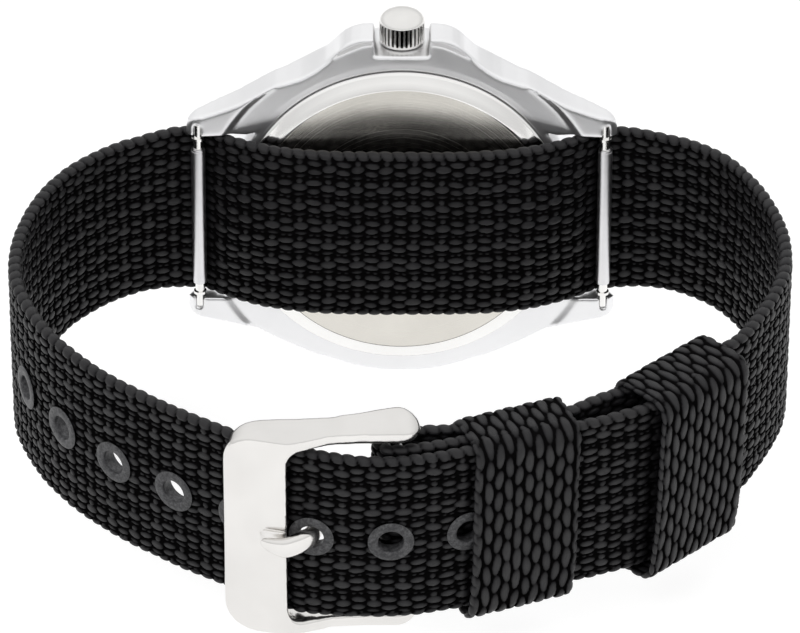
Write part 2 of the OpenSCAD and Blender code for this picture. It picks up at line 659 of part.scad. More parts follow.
// The clamp: a flat spring over the battery, with an end that turns up to the circuit board
clamp_t = 0.2;
clamp_w = 1.8;
clamp_z = battery_z - clamp_t - fit_gap;
module battery_clamp() color("silver") translate([battery_at[0] - clamp_w / 2, battery_at[1], clamp_z]) {
    translate([0, -0.8 * battery_r, 0]) cube([clamp_w, 1.8 * battery_r + 1.6, clamp_t]);
    translate([0, battery_r + 1.6 - clamp_t, 0]) cube([clamp_w, clamp_t, board_z - fit_gap - clamp_z]);
}

// The motor's coil: a flat core with a pad at each end, inside its winding
coil_r = 0.84;
core_w = 0.8;
core_len = 10;
core_t = 0.6;
pad = [1.8, 0.9];
core_z = plate_z - seat_gap - coil_r - core_t / 2;
core_end = core_len / 2 - pad[1] / 2;
module coil_core() color("gray") translate([coil_at[0], coil_at[1], core_z]) {
    translate([-core_w / 2, -core_len / 2, 0]) cube([core_w, core_len, core_t]);
    for (y = [-core_end, core_end]) translate([-pad[0] / 2, y - pad[1] / 2, 0]) cube([pad[0], pad[1], core_t]);
}

winding_len = core_len - 2 * pad[1] - 0.4;
module coil_winding() color("chocolate") translate([coil_at[0], coil_at[1], core_z + core_t / 2])
    difference() {
        rotate([90, 0, 0]) translate([0, 0, -winding_len / 2]) cylinder(r = coil_r, h = winding_len);
        cube([core_w + 2 * fit_gap, core_len, core_t + 2 * fit_gap], center = true);
    }

// The stator: two pads on the core and a ring round the rotor, joined by legs
stator_z = core_z + core_t + fit_gap;
stator_t = 0.34;
rotor_gap_r = 1.15;
stator_ring_r = rotor_gap_r + 0.42;
leg_w = 0.8;
leg_end = stator_ring_r - 0.22;
leg_bend = [rotor_at[0] - 0.4, coil_at[1] + core_end];
module stator() color("gray") difference() {
    union() {
        for (y = [-core_end, core_end])
            translate([coil_at[0] - pad[0] / 2, coil_at[1] + y - pad[1] / 2, stator_z])
                cube([pad[0], pad[1], stator_t]);
        translate([rotor_at[0], rotor_at[1], stator_z]) cylinder(r = stator_ring_r, h = stator_t);
        stator_leg(coil_at - [0, core_end], rotor_at - [0, leg_end]);
        stator_leg(coil_at + [0, core_end], leg_bend);
        stator_leg(leg_bend, rotor_at + [0, leg_end]);
    }
    translate([rotor_at[0], rotor_at[1], 0]) cylinder(r = rotor_gap_r, h = plate_z);
}

// A flat leg of the stator between two points
module stator_leg(a, b) {
    v = b - a;
    translate([a[0], a[1], stator_z]) rotate(atan2(v[1], v[0])) translate([-0.2, -leg_w / 2, 0])
        cube([norm(v) + 0.4, leg_w, stator_t]);
}

can_r = 0.72;
can_len = 5.4;
module quartz_can() color("silver")
    translate([can_at[0], can_at[1], bridge_z + bridge_t + can_r + seat_gap]) rotate([0, 90, 35])
        translate([0, 0, -can_len / 2]) cylinder(r = can_r, h = can_len);

module movement_screws() color("silver") for (s = screw_at) translate([s[0], s[1], board_z - head_h]) {
    difference() {
        cylinder(r = 0.95, h = head_h - fit_gap);
        translate([-1.1, -0.1, -1]) cube([2.2, 0.2, 1.12]);
    }
    cylinder(r = screw_r, h = screw_len);
}

// Heights of the train's wheels and pinions, from the bridge up to the dial
wheel_t = 0.2;
hub_r = 0.1;
fifth_pinion_z = bridge_z + bridge_t + 0.06;
second_wheel_z = fifth_pinion_z + 0.06;
fifth_wheel_z = fifth_pinion_z + 0.44;
third_wheel_z = fifth_wheel_z + 0.05;
third_pinion_h = 0.8;
centre_tube_z = third_wheel_z + 0.47;
centre_wheel_z = centre_tube_z + 0.13;
cannon_z = motion_z + 0.04;
hour_wheel_z = motion_z + 0.36;

// An arbor between the bridge and the main plate
module arbor() translate([0, 0, bridge_z]) cylinder(r = arbor_r, h = plate_z + pivot_len - bridge_z);

module rotor() color("dimgray") translate([rotor_at[0], rotor_at[1], 0]) {
    arbor();
    translate([0, 0, stator_z - 0.08]) cylinder(r = rotor_gap_r - 0.3, h = stator_t + 0.16);
    translate([0, 0, fifth_wheel_z - 0.2])
        gear(rotor_teeth, gear_m, stator_z - fifth_wheel_z + 0.15, rotor_dir + 180, hub_r);
}

module fifth_wheel() color("gold") translate([fifth_at[0], fifth_at[1], 0]) {
    arbor();
    translate([0, 0, fifth_wheel_z]) gear(fifth_teeth, gear_m, 0.15, rotor_dir + 180 / fifth_teeth, hub_r);
    translate([0, 0, fifth_pinion_z]) gear(fifth_pinion_teeth, second_m, 0.5, fifth_dir + 180, hub_r);
}

module second_wheel() color("gold") {
    translate([0, 0, bridge_z]) cylinder(r = arbor_r, h = second_hand_z + hand_t + 0.2 - bridge_z);
    translate([0, 0, second_wheel_z])
        gear(second_teeth, second_m, wheel_t, fifth_dir + 180 / second_teeth, hub_r);
    translate([0, 0, second_wheel_z + wheel_t / 2])
        gear(second_pinion_teeth, gear_m, 0.7, third_dir, hub_r);
}

module third_wheel() color("gold") translate([third_at[0], third_at[1], 0]) {
    arbor();
    translate([0, 0, third_wheel_z])
        gear(third_teeth, gear_m, wheel_t, third_dir + 180 + 180 / third_teeth, hub_r);
    translate([0, 0, third_wheel_z + wheel_t / 2])
        gear(third_pinion_teeth, centre_m, third_pinion_h, third_dir + 180, hub_r);
}

module centre_wheel() color("gold") {
    translate([0, 0, centre_tube_z]) tube(cannon_r, cannon_bore_r, minute_hand_z + hand_t - centre_tube_z);
    translate([0, 0, centre_wheel_z])
        gear(centre_teeth, centre_m, wheel_t, third_dir + 180 / centre_teeth, cannon_r - 0.05);
    translate([0, 0, cannon_z]) gear(cannon_teeth, gear_m, wheel_t, 0, cannon_r - 0.05);
}

module minute_wheel() color("gold") translate([minute_at[0], minute_at[1], cannon_z]) {
    gear(minute_teeth, gear_m, 0.15, 180 + 180 / minute_teeth, post_r + run_gap);
    translate([0, 0, 0.15]) gear(minute_pinion_teeth, gear_m, 0.45, 180, post_r + run_gap);
}

module setting_wheel() color("gold") translate([setting_at[0], setting_at[1], cannon_z])
    gear(setting_teeth, gear_m, wheel_t, 180, post_r + run_gap);

module hour_wheel() color("gold") translate([0, 0, hour_wheel_z]) {
    tube(hour_tube_r, hour_tube_bore_r, hour_hand_z + hand_t - hour_wheel_z);
    gear(hour_teeth, gear_m, wheel_t, 180 / hour_teeth, hour_tube_r - 0.05);
}

// A pointed hand lying along the direction turn, with a boss round its bore
module hand(reach, tail, w, boss, bore, turn) {
    half = [[-tail, w * 0.35], [0, w * 0.35], [reach * 0.3, w / 2], [reach * 0.85, w * 0.4]];
    difference() {
        union() {
            cylinder(r = boss, h = hand_t);
            linear_extrude(hand_t) rotate(turn)
                polygon(concat(half, [[reach, 0]], backwards(scaled(half, 1, -1))));
        }
        translate([0, 0, -1]) cylinder(r = bore, h = hand_t + 2);
    }
}

// The hands' directions, in degrees from 3 o'clock: ten past ten and thirty-five seconds
hour_dir = 145;
minute_dir = 29;
second_dir = 240;
module hour_hand() color("white") translate([0, 0, hour_hand_z])
    hand(hour_len, 1.6, 1.5, 1.15, hour_tube_r + fit_gap, hour_dir);

module minute_hand() color("white") translate([0, 0, minute_hand_z])
    hand(minute_len, 2.2, 1.2, 0.95, cannon_r + fit_gap, minute_dir);

module second_hand() color("red") translate([0, 0, second_hand_z])
    hand(second_len, 4.2, 0.35, 0.6, arbor_r + fit_gap, second_dir);

// The clutch wheel slides along the stem's inner end
module clutch_wheel() color("silver") translate([clutch_x, 0, crown_z]) rotate([0, 90, 0])
    difference() {
        union() {
            gear(clutch_teeth, clutch_m, 0.5, 0, 0.3);
            cylinder(r = 0.62, h = clutch_len);
        }
        translate([0, 0, -1]) cylinder(r = stem_r + run_gap, h = clutch_len + 2);
    }

// The crown: a fluted drum with a domed cap, hollow for its tube and gasket
flute_r = 0.16;
crown_foot = 0.12;
cavity_h = 1.5;
crown_cap_section = [[0, 0], [crown_r - 0.18, 0], [crown_r - 0.22, 0.12],
    [crown_r - 0.45, crown_cap * 0.6], [crown_r - 0.95, crown_cap * 0.9], [crown_r - 1.5, crown_cap],
    [0, crown_cap]];
module crown() color("silver") translate([crown_x, 0, crown_z]) rotate([0, 90, 0]) difference() {
    union() {
        translate([0, 0, crown_foot]) linear_extrude(crown_h - crown_foot) difference() {
            circle(r = crown_r);
            for (i = [0:crown_flutes - 1]) rotate(i * 360 / crown_flutes)
                translate([crown_r + 0.02, 0]) circle(r = flute_r, $fn = 16);
        }
        cylinder(r = crown_r - 0.3, h = crown_h);
        translate([0, 0, crown_h]) rotate_extrude() polygon(crown_cap_section);
    }
    translate([0, 0, -1]) cylinder(r = crown_cavity_r, h = cavity_h + 1);
    translate([0, 0, 1]) cylinder(r = stem_r + fit_gap, h = stem_out_x - crown_x - 0.95);
}

// The stem, from the clutch wheel to inside the crown, with the lever's groove
stem_out_x = crown_x + crown_h + 0.05;
module stem() color("silver") translate([0, 0, crown_z]) rotate([0, 90, 0]) {
    translate([0, 0, stem_x]) cylinder(r = stem_r, h = groove_x - groove_half - stem_x);
    translate([0, 0, stem_x]) cylinder(r = groove_r, h = groove_x + groove_half + 0.5 - stem_x);
    translate([0, 0, groove_x + groove_half]) cylinder(r = stem_r, h = stem_out_x - groove_x - groove_half);
}

crown_gasket_at = 0.28;
module crown_gasket() color("black") translate([crown_x + crown_gasket_at, 0, crown_z]) rotate([0, 90, 0])
    rotate_extrude() translate([(crown_cavity_r + tube_r) / 2, 0]) circle(r = 0.2, $fn = 32);

// The lever swings on its pivot, with a pin in the stem's groove
lever_t = 0.3;
lever_half_w = 0.35;
lever_z = plate_z - lever_t - 0.06;
lever_dir = -90 - asin(crown_travel / 2 / lever_reach);
module setting_lever() color("silver") translate([lever_pivot[0], lever_pivot[1], lever_z]) {
    cylinder(r = 0.7, h = lever_t);
    cylinder(r = 0.3, h = plate_z - lever_z - 0.005);
    rotate(lever_dir) {
        translate([0, -lever_half_w, 0]) cube([lever_reach, 2 * lever_half_w, lever_t]);
        translate([lever_reach, 0, 0]) {
            cylinder(r = lever_half_w, h = lever_t);
            cylinder(r = 0.15, h = crown_z + stem_r - lever_z + 0.04);
        }
    }
}

// The webbing: one unbroken band from the sewn fold, round both lug bars, to the tail's end
module strap_webbing() color([0.05, 0.05, 0.05]) difference() {
    strap_band();
    // Punched through one layer, with the middle line across the flats of the hole's facets
    at_eyelets() rotate([90, 180 / punch_sides, 0]) cylinder(r = eyelet_hole_r + eyelet_wall + seat_gap,
        h = strap_t + layer_gap, center = true, $fn = punch_sides);
    // Slot for the tang's loop, through the fold round the buckle's bar
    buckle_axes() translate([-fold_r - 2, -fold_r - 0.85, -tang_w / 2 - tang_side_gap])
        cube([fold_r + 3.9, 2 * fold_r + 1.7, tang_w + 2 * tang_side_gap]);
}

module at_eyelets() for (s = eyelet_lengths) {
    a = point_at(s - flat_half);
    b = point_at(s + flat_half);
    p = point_at(s);
    loop_axes() translate([p[0], -p[1], 0]) rotate([0, 0, atan2(a[1] - b[1], b[0] - a[0])]) children();
}

module strap_band() {
    n = len(ring_shape);
    rings = len(band_line);
    polyhedron(
        points = strap_points,
        faces = concat(
            [[for (j = [n - 1:-1:0]) j]],
            [[for (j = [0:n - 1]) (rings - 1) * n + j]],
            [for (i = [0:rings - 2], j = [0:n - 1])
                [i * n + j, (i + 1) * n + (j + 1) % n, (i + 1) * n + j]],
            [for (i = [0:rings - 2], j = [0:n - 1])
                [i * n + j, i * n + (j + 1) % n, (i + 1) * n + (j + 1) % n]]),
        convexity = 10);
}

punch_sides = 48;

// One eyelet's section, [radius, height]: a barrel with a lip on each side of the webbing
lip_at = strap_t / 2 + run_gap;
eyelet_half = [[eyelet_hole_r + eyelet_wall, lip_at], [eyelet_r, lip_at],
    [eyelet_r, lip_at + eyelet_lip / 2], [eyelet_hole_r, lip_at + eyelet_lip]];
module strap_eyelets() color("dimgray") at_eyelets() rotate([90, 0, 0]) rotate_extrude($fn = 48)
    polygon(concat(backwards(scaled(eyelet_half, 1, -1)), eyelet_half));

// Rows of stitches across the fold, on the wrist's side of the layers
stitch_count = 6;
stitch_pitch = 2.9;
stitch = [0.4, 0.3, 2];
stitch_rows = [1.6 - keeper_len / 2, keeper_len / 2 - 3.2];
module fold_stitching() color("black") for (row = stitch_rows, k = [0:stitch_count - 1])
    on_strap(keeper_s + row)
        translate([-stitch[0] / 2, 2 * layer_pitch + strap_t / 2 + 0.1,
            (k - (stitch_count - 1) / 2) * stitch_pitch - stitch[2] / 2])
            cube(stitch);

// The keepers' distances from the buckle's bar, across the loop
keeper_from_bar = 13.2;
slider_from_bar = 29.9;
keeper_s = length_at_x(buckle_bar_x + keeper_from_bar);
slider_s = length_at_x(buckle_bar_x + slider_from_bar);

// A keeper: a band of webbing sewn into a ring round so many layers
keeper_side_room = 0.2;
module keeper(layers, slack) {
    y_out = -strap_t / 2 - keeper_side_room;
    y_in = (layers - 1) * layer_pitch + strap_t / 2 + slack;
    room = [y_in - y_out, strap_w + 2 * keeper_side_room];
    translate([-keeper_len / 2, (y_out + y_in) / 2, 0]) rotate([90, 0, 90])
        linear_extrude(keeper_len) difference() {
            round_rect(room[0] + 2 * keeper_t, room[1] + 2 * keeper_t, keeper_t);
            round_rect(room[0], room[1], 0.3);
        }
}

module keeper_fixed() color([0.06, 0.06, 0.06]) on_strap(keeper_s) keeper(3, 0.6);

module keeper_sliding() color([0.06, 0.06, 0.06]) on_strap(slider_s) keeper(2, 0.8);

// Buckle: its own axes sit on the bar, x to the right, y away from the plate, z across the strap
module buckle_axes() {
    loop_axes() translate([buckle_bar_x, -buckle_bar_q, 0]) children();
}

plate_left = -16.7;
plate_right = -10.6;
plate_rise = 1.5;
arm_end_r = 2.2;
arm_end = [0.3, -0.2];
outer_corner = 3.2;
inner_corner = 1.6;
// Room for the outline of the frame as seen from the front
front_room = 20;
// Side view of the buckle, [x, y]: its front edge from the left, and its back edge from the right
frame_front = [[plate_left, plate_rise - plate_q - plate_t], [plate_right, -plate_q - plate_t],
    [-9.2, -3.75], [-6.3, -2.7], [-3, -2.45], [arm_end[0], arm_end[1] - arm_end_r]];
frame_back = [[arm_end[0], arm_end[1] + arm_end_r], [-1.5, 1.6], [-3.4, 0.95], [-6.3, 0.25],
    [-9.3, 0], [-12.8, -0.15], [-15.2, -0.6], [plate_left, plate_rise - plate_q]];
plate_under = [[plate_left - 1, plate_rise - plate_q + 0.25], [plate_left - 1, 8], [plate_right + 1, 8],
    [plate_right + 1, -plate_q - 0.25], [plate_right, -plate_q]];
module buckle_frame() color("silver") buckle_axes() difference() {
    intersection() {
        translate([0, 0, -frame_half]) linear_extrude(2 * frame_half) {
            polygon(concat(frame_front, frame_back));
            translate(arm_end) circle(r = arm_end_r);
        }
        rotate([90, 0, 0]) translate([0, 0, -front_room / 2]) linear_extrude(front_room) difference() {
            translate([plate_left + front_room / 2, 0]) round_rect(front_room, 2 * frame_half, outer_corner);
            translate([plate_right + front_room / 2, 0])
                round_rect(front_room, 2 * buckle_bar_half, inner_corner);
        }
    }
    translate([0, 0, -buckle_bar_half]) linear_extrude(2 * buckle_bar_half) polygon(plate_under);
    // Rest for the tang's tip
    translate([plate_right - 2.4, plate_rise * 0.4 - plate_q - 0.62, -tang_w / 2 - 0.1]) rotate([0, 0, -14])
        translate([0, -2, 0]) cube([4, 2, tang_w + 0.2]);
    for (side = [-1, 1]) translate([0, 0, side * (buckle_bar_half - 0.2)])
        rotate([0, side > 0 ? 0 : 180, 0]) cylinder(r = tip_r + slip_gap, h = tip_len + 0.2);
}

// Middle line of the tang, from its loop through the eyelet to the tip on the plate
tang_line = [[-1.0, -0.3], [-4, -0.42], [-6.6, -0.75], [-7.6, -1.35], [-8.0, -2.4], [-8.35, -3.7],
    [-9.2, -4.42], [-10.7, -4.5], [-12.1, -4.2], [-13.3, -3.85]];
function tang_edge(side) = let (pts = spline(tang_line, 3)) [for (i = [0:len(pts) - 1])
    let (v = slope_at(pts, i), taper = i > len(pts) - 5 ? 0.62 : 1)
    pts[i] + side * taper * tang_t / 2 * turn_in(v)];
module buckle_tang() color("silver") buckle_axes() translate([0, 0, -tang_w / 2])
    linear_extrude(tang_w) difference() {
        union() {
            circle(r = bar_r + 0.72);
            polygon(concat(tang_edge(1), backwards(tang_edge(-1))));
        }
        circle(r = bar_r + 0.05);
    }

// Spring bars: a tube, a pin at each end and the coil spring between the pins
module bar_tube(half) {
    translate([0, 0, -half]) difference() {
        union() {
            cylinder(r = bar_r - 0.05, h = 2 * half);
            translate([0, 0, 0.25]) cylinder(r = bar_r, h = 2 * half - 0.5);
        }
        translate([0, 0, -1]) cylinder(r = pin_r + slip_gap, h = 2 * half + 2);
    }
}

// The upper pin of a bar whose collar bears at end; the lower pin is its mirror
module bar_pin(half, end) {
    inner_z = half - pin_in;
    translate([0, 0, inner_z]) cylinder(r = pin_r, h = end - shoulder_at - inner_z);
    translate([0, 0, end - shoulder_at - shoulder_t]) cylinder(r = pin_r + 0.16, h = shoulder_t);
    translate([0, 0, end - shoulder_at]) cylinder(r = tip_r, h = shoulder_at + tip_len - 0.05);
}

module coil_spring(half) {
    n = 6;
    steps = 8 * spring_turns;
    r = pin_r - spring_wire_r - 0.02;
    pts = [for (i = [0:steps], j = [0:n - 1]) let (a = i * 45, b = j * 360 / n,
        rr = r + spring_wire_r * cos(b), z = -half + 2 * half * i / steps + spring_wire_r * sin(b))
        [rr * cos(a), rr * sin(a), z]];
    polyhedron(points = pts, faces = concat(
        [[for (j = [n - 1:-1:0]) j]],
        [[for (j = [0:n - 1]) steps * n + j]],
        [for (i = [0:steps - 1], j = [0:n - 1])
            [i * n + j, i * n + (j + 1) % n, (i + 1) * n + (j + 1) % n]],
        [for (i = [0:steps - 1], j = [0:n - 1])
            [i * n + j, (i + 1) * n + (j + 1) % n, (i + 1) * n + j]]));
}

module lug_bar_axes(side) {
    case_axes() translate([0, side * lug_bar_y, 0]) rotate([0, 90, 0]) children();
}

module lug_bar_12() color("silver") lug_bar_axes(1) bar_tube(tube_half);
module lug_bar_12_pin_upper() color("silver") lug_bar_axes(1) bar_pin(tube_half, bar_half);
module lug_bar_12_pin_lower() color("silver") lug_bar_axes(1) mirror([0, 0, 1]) bar_pin(tube_half, bar_half);
module lug_bar_12_spring() color("gray") lug_bar_axes(1) coil_spring(tube_half - spring_in);
module lug_bar_6() color("silver") lug_bar_axes(-1) bar_tube(tube_half);
module lug_bar_6_pin_upper() color("silver") lug_bar_axes(-1) bar_pin(tube_half, bar_half);
module lug_bar_6_pin_lower() color("silver") lug_bar_axes(-1) mirror([0, 0, 1]) bar_pin(tube_half, bar_half);
module lug_bar_6_spring() color("gray") lug_bar_axes(-1) coil_spring(tube_half - spring_in);
module buckle_bar() color("silver") buckle_axes() bar_tube(buckle_tube_half);
module buckle_bar_pin_upper() color("silver") buckle_axes() bar_pin(buckle_tube_half, buckle_bar_half);
module buckle_bar_pin_lower() color("silver") buckle_axes() mirror([0, 0, 1])
    bar_pin(buckle_tube_half, buckle_bar_half);
module buckle_bar_spring() color("gray") buckle_axes() coil_spring(buckle_tube_half - spring_in);

// Puts everything where the watch stands: middle of its box, lowest point on the ground
module stand() translate([-watch_x, -watch_y, stand_z]) children();

stand() case_axes() mid_case();
stand() case_axes() bezel();
stand() case_axes() crystal();
stand() case_axes() crystal_gasket();
stand() case_axes() chapter_ring();
stand() case_axes() dial();
stand() case_axes() hour_markers();
stand() case_axes() case_back();
stand() case_axes() case_back_gasket();
stand() case_axes() crown_tube();
stand() case_axes() movement_holder();
stand() case_axes() main_plate();
stand() case_axes() train_bridge();
stand() case_axes() circuit_board();
stand() case_axes() battery();
stand() case_axes() battery_clamp();
stand() case_axes() coil_core();
stand() case_axes() coil_winding();
stand() case_axes() stator();
stand() case_axes() quartz_can();
stand() case_axes() movement_screws();
stand() case_axes() rotor();
stand() case_axes() fifth_wheel();
stand() case_axes() second_wheel();
stand() case_axes() second_hand();
stand() case_axes() third_wheel();
stand() case_axes() centre_wheel();
stand() case_axes() minute_hand();
stand() case_axes() minute_wheel();
stand() case_axes() setting_wheel();
stand() case_axes() hour_wheel();
stand() case_axes() hour_hand();
stand() case_axes() clutch_wheel();
stand() case_axes() crown();
stand() case_axes() stem();
stand() case_axes() crown_gasket();
stand() case_axes() setting_lever();
stand() strap_webbing();
stand() strap_eyelets();
stand() fold_stitching();
stand() keeper_fixed();
stand() keeper_sliding();
stand() buckle_frame();
stand() buckle_tang();
stand() lug_bar_12();
stand() lug_bar_12_pin_upper();
stand() lug_bar_12_pin_lower();
stand() lug_bar_12_spring();
stand() lug_bar_6();
stand() lug_bar_6_pin_upper();
stand() lug_bar_6_pin_lower();
stand() lug_bar_6_spring();
stand() buckle_bar();
stand() buckle_bar_pin_upper();
stand() buckle_bar_pin_lower();
stand() buckle_bar_spring();
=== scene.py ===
import json
import math

import bmesh
import bpy
import numpy as np
from mathutils import Matrix, Vector

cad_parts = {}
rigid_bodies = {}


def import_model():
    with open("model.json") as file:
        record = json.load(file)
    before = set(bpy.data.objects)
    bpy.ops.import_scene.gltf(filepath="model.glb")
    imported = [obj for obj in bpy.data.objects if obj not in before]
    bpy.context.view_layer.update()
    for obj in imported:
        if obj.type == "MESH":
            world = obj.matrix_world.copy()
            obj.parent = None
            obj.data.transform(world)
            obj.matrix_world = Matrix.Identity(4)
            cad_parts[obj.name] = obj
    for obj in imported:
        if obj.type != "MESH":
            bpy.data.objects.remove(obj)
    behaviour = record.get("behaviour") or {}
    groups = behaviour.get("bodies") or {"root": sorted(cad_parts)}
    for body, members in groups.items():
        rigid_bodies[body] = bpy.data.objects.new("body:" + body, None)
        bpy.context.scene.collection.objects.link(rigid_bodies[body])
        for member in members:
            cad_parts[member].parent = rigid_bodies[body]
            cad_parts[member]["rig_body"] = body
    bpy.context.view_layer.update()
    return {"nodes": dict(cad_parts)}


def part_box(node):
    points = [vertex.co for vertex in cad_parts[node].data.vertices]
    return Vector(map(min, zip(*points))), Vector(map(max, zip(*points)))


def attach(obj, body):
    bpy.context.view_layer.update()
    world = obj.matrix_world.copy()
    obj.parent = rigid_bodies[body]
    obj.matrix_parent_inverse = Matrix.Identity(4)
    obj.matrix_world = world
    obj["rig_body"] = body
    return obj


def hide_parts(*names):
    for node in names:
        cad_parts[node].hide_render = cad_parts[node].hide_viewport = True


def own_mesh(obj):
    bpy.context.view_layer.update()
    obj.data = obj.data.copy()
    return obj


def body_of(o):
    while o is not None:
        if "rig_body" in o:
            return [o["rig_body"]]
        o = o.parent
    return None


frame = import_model()

# All sizes below are in millimetres. The watch's own frame has its origin midway between the lug bars:
# x to the right, y away from the buckle, z up to the crown.
MM = 0.001


def centre_of(node):
    low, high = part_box(node)
    return (np.array(low) + np.array(high)) / 2


ORIGIN = (centre_of("lug_bar_12") + centre_of("lug_bar_6")) / 2


def to_world(points):
    return np.asarray(points, float) * MM + ORIGIN


def from_case(points):
    """Case axes (3 o'clock, 12 o'clock, dial) to the watch's frame."""
    points = np.asarray(points, float)
    return points[..., [1, 2, 0]]


# Camera: the photograph's viewing angle
CAMERA_RISE = math.radians(31.52)
CAMERA_ROLL = math.radians(0.127)
CAMERA_DISTANCE = 697.3
CAMERA_TARGET = (-0.136, 0, -12.41)
CAMERA_LENS = 296.96

# Strap and loop. The tail's points are x from the buckle's bar and drop from TAIL_TOP_Q. The side points are
# x out from the lug bar and q, the distance from the lug bars along the leaning loop.
STRAP_T = 1.5
STRAP_HALF = 9.8
LAYER_PITCH = 1.75
LOOP_TILT = math.radians(4.5)
LEAN_RUN = 7
LUG_BAR_X = 21.2
BUCKLE_BAR = (-0.6, 51.3)
TAIL_TOP_Q = 54.7
FOLD_R = 1.65
WRAP_R = 1.7
WRAP_ANGLE = 42
BACK_BULGE = 3.75
BULGE_POWER = 3.4
RIM_BOW = 0.9
BOW_START = 1.2
BOW_RUN = 2.6
BOW_MIDDLE = 0.35
EYELET_PITCH = 7.65
TANG_REACH = 8
KEEPER_FROM_BAR = 13.2
SLIDER_FROM_BAR = 29.9
KEEPER_T = 0.9
KEEPER_ROOM = 0.2
KEEPER_CORNER_R = 1.5
KEEPER_HANG = 0.25
TAIL_LEFT = [(-17.23, 5.16), (-13.86, 3.02), (-10.49, 1.54), (-7.32, 0.6), (-3.36, 0)]
TAIL_RIGHT = [(0.59, 0.05), (4.55, 0.88), (8.51, 2.19), (12.47, 3.73), (16.44, 5.27), (20.41, 6.7),
              (24.38, 8.56), (28.36, 11.21), (31.35, 13.96), (34.15, 17.27)]
RIGHT_SIDE = [(12.87, 33.93), (14.89, 30.06), (16.5, 26.3), (17.5, 22.75), (17.8, 19.4), (17.5, 15.6),
              (16.65, 11.84), (14.95, 7.37), (12.39, 3.19), (9, 0.4), (5.79, -0.95), (2.8, -1.67)]
LEFT_SIDE = [(2.6, -1.44), (5.6, -0.32), (8.4, 1.15), (11.19, 3.42), (13.76, 6.43), (15.92, 10.62),
             (17.38, 15.63), (17.94, 20.64), (17.61, 25.08), (16.29, 29.18), (14.17, 33.6), (11.16, 37.8),
             (7.57, 41.55), (3.58, 44.8), (0.2, 47.27)]
# How far the inner layer hangs away from the tail at each of the points of TAIL_RIGHT
LAYER_SAG = [0, 0, 0, 0, 0.3, 1.4, 1.8, 1.5, 0.8, 0.3]


# Plane curves
def turn_in(v):
    return np.stack([v[..., 1], -v[..., 0]], -1)


def slopes(points):
    ahead = np.concatenate([points[1:], points[-1:]])
    behind = np.concatenate([points[:1], points[:-1]])
    v = ahead - behind
    return v / np.linalg.norm(v, axis=1)[:, None]


def spline(points, n):
    """The same smooth curve as the CAD's, with n steps between points."""
    points = np.asarray(points, float)
    padded = np.concatenate([points[:1], points, points[-1:]])
    a, b, c, d = padded[:-3, None], padded[1:-2, None], padded[2:-1, None], padded[3:, None]
    t = (np.arange(n) / n)[None, :, None]
    square, cube = 2 * a - 5 * b + 4 * c - d, 3 * b - a - 3 * c + d
    curve = 0.5 * (2 * b + (c - a) * t + square * t**2 + cube * t**3)
    return np.concatenate([curve.reshape(-1, points.shape[1]), points[-1:]])


def lengths_along(points):
    steps = np.linalg.norm(np.diff(points, axis=0), axis=1)
    return np.concatenate([[0], np.cumsum(steps)])


def smooth_step(t):
    u = np.clip(t, 0, 1)
    return u * u * (3 - 2 * u)


def strap_route():
    left, right = (np.array([(BUCKLE_BAR[0] + x, TAIL_TOP_Q - drop) for x, drop in side])
                   for side in (TAIL_LEFT, TAIL_RIGHT))
    inward = turn_in(slopes(right))
    under = right + 2 * LAYER_PITCH * inward
    beside = right + (LAYER_PITCH + np.array(LAYER_SAG))[:, None] * inward
    arc = [(BUCKLE_BAR[0] + FOLD_R * math.cos(a), BUCKLE_BAR[1] + FOLD_R * math.sin(a))
           for a in np.radians([-90, -135, -180, -225, -270])]
    angles = np.radians([0, WRAP_ANGLE / 2, WRAP_ANGLE])
    wrap = [(LUG_BAR_X - WRAP_R * math.sin(a), -WRAP_R * math.cos(a)) for a in angles]
    in_x, in_q = wrap[-1]
    over = [(u * in_x, in_q + (BACK_BULGE - in_q) * (1 - abs(u) ** BULGE_POWER))
            for u in np.arange(0.9, -0.91, -0.15)]
    return np.array(
        [*under[4:1:-1], (BUCKLE_BAR[0] + 2.6, BUCKLE_BAR[1] - FOLD_R + 0.05), *arc, *beside[1:],
         *[(LUG_BAR_X + x, q) for x, q in RIGHT_SIDE], *wrap, *over,
         *[(-x, q) for x, q in reversed(wrap)], *[(-LUG_BAR_X - x, q) for x, q in LEFT_SIDE],
         *left, *right])


ROUTE = strap_route()
CURVE_STEPS = 24
LINE = spline(ROUTE, CURVE_STEPS)
LENGTHS = lengths_along(LINE)
STRAP_LENGTH = LENGTHS[-1]
# The front of the loop starts in the last points of the left side
FRONT_START = CURVE_STEPS * (len(ROUTE) - len(TAIL_LEFT) - len(TAIL_RIGHT) - 4)


def point_at(s):
    return np.stack([np.interp(s, LENGTHS, LINE[:, 0]), np.interp(s, LENGTHS, LINE[:, 1])], -1)


def length_at_x(x):
    """Length along the strap where its front passes x."""
    return float(np.interp(x, LINE[FRONT_START:, 0], LENGTHS[FRONT_START:]))


TANG_HOLE_S = length_at_x(BUCKLE_BAR[0] - TANG_REACH)
KEEPER_S = length_at_x(BUCKLE_BAR[0] + KEEPER_FROM_BAR)
SLIDER_S = length_at_x(BUCKLE_BAR[0] + SLIDER_FROM_BAR)


def in_loop(x, q, w):
    """Places in the loop's leaning plane, at w across it, to the watch's frame."""
    x, q, w = np.broadcast_arrays(x, q, w)
    sin, cos = math.sin(LOOP_TILT), math.cos(LOOP_TILT)
    return np.stack([x, -q * cos - w * sin, -q * sin + w * cos], -1)


def on_strap(s):
    """Place, heading, direction into the loop and direction across the strap, at a length along it."""
    p = point_at(s)
    v = point_at(s + 1) - point_at(s - 1)
    v = v / np.linalg.norm(v)
    return in_loop(*p, 0), in_loop(*v, 0), -in_loop(-v[1], v[0], 0), in_loop(0, 0, 1)


# Meshes
SQUARE = [(-1, -1), (1, -1), (1, 1), (-1, 1)]


def make_object(name, mesh):
    piece = bpy.data.objects.new(name, mesh)
    bpy.context.scene.collection.objects.link(piece)
    return piece


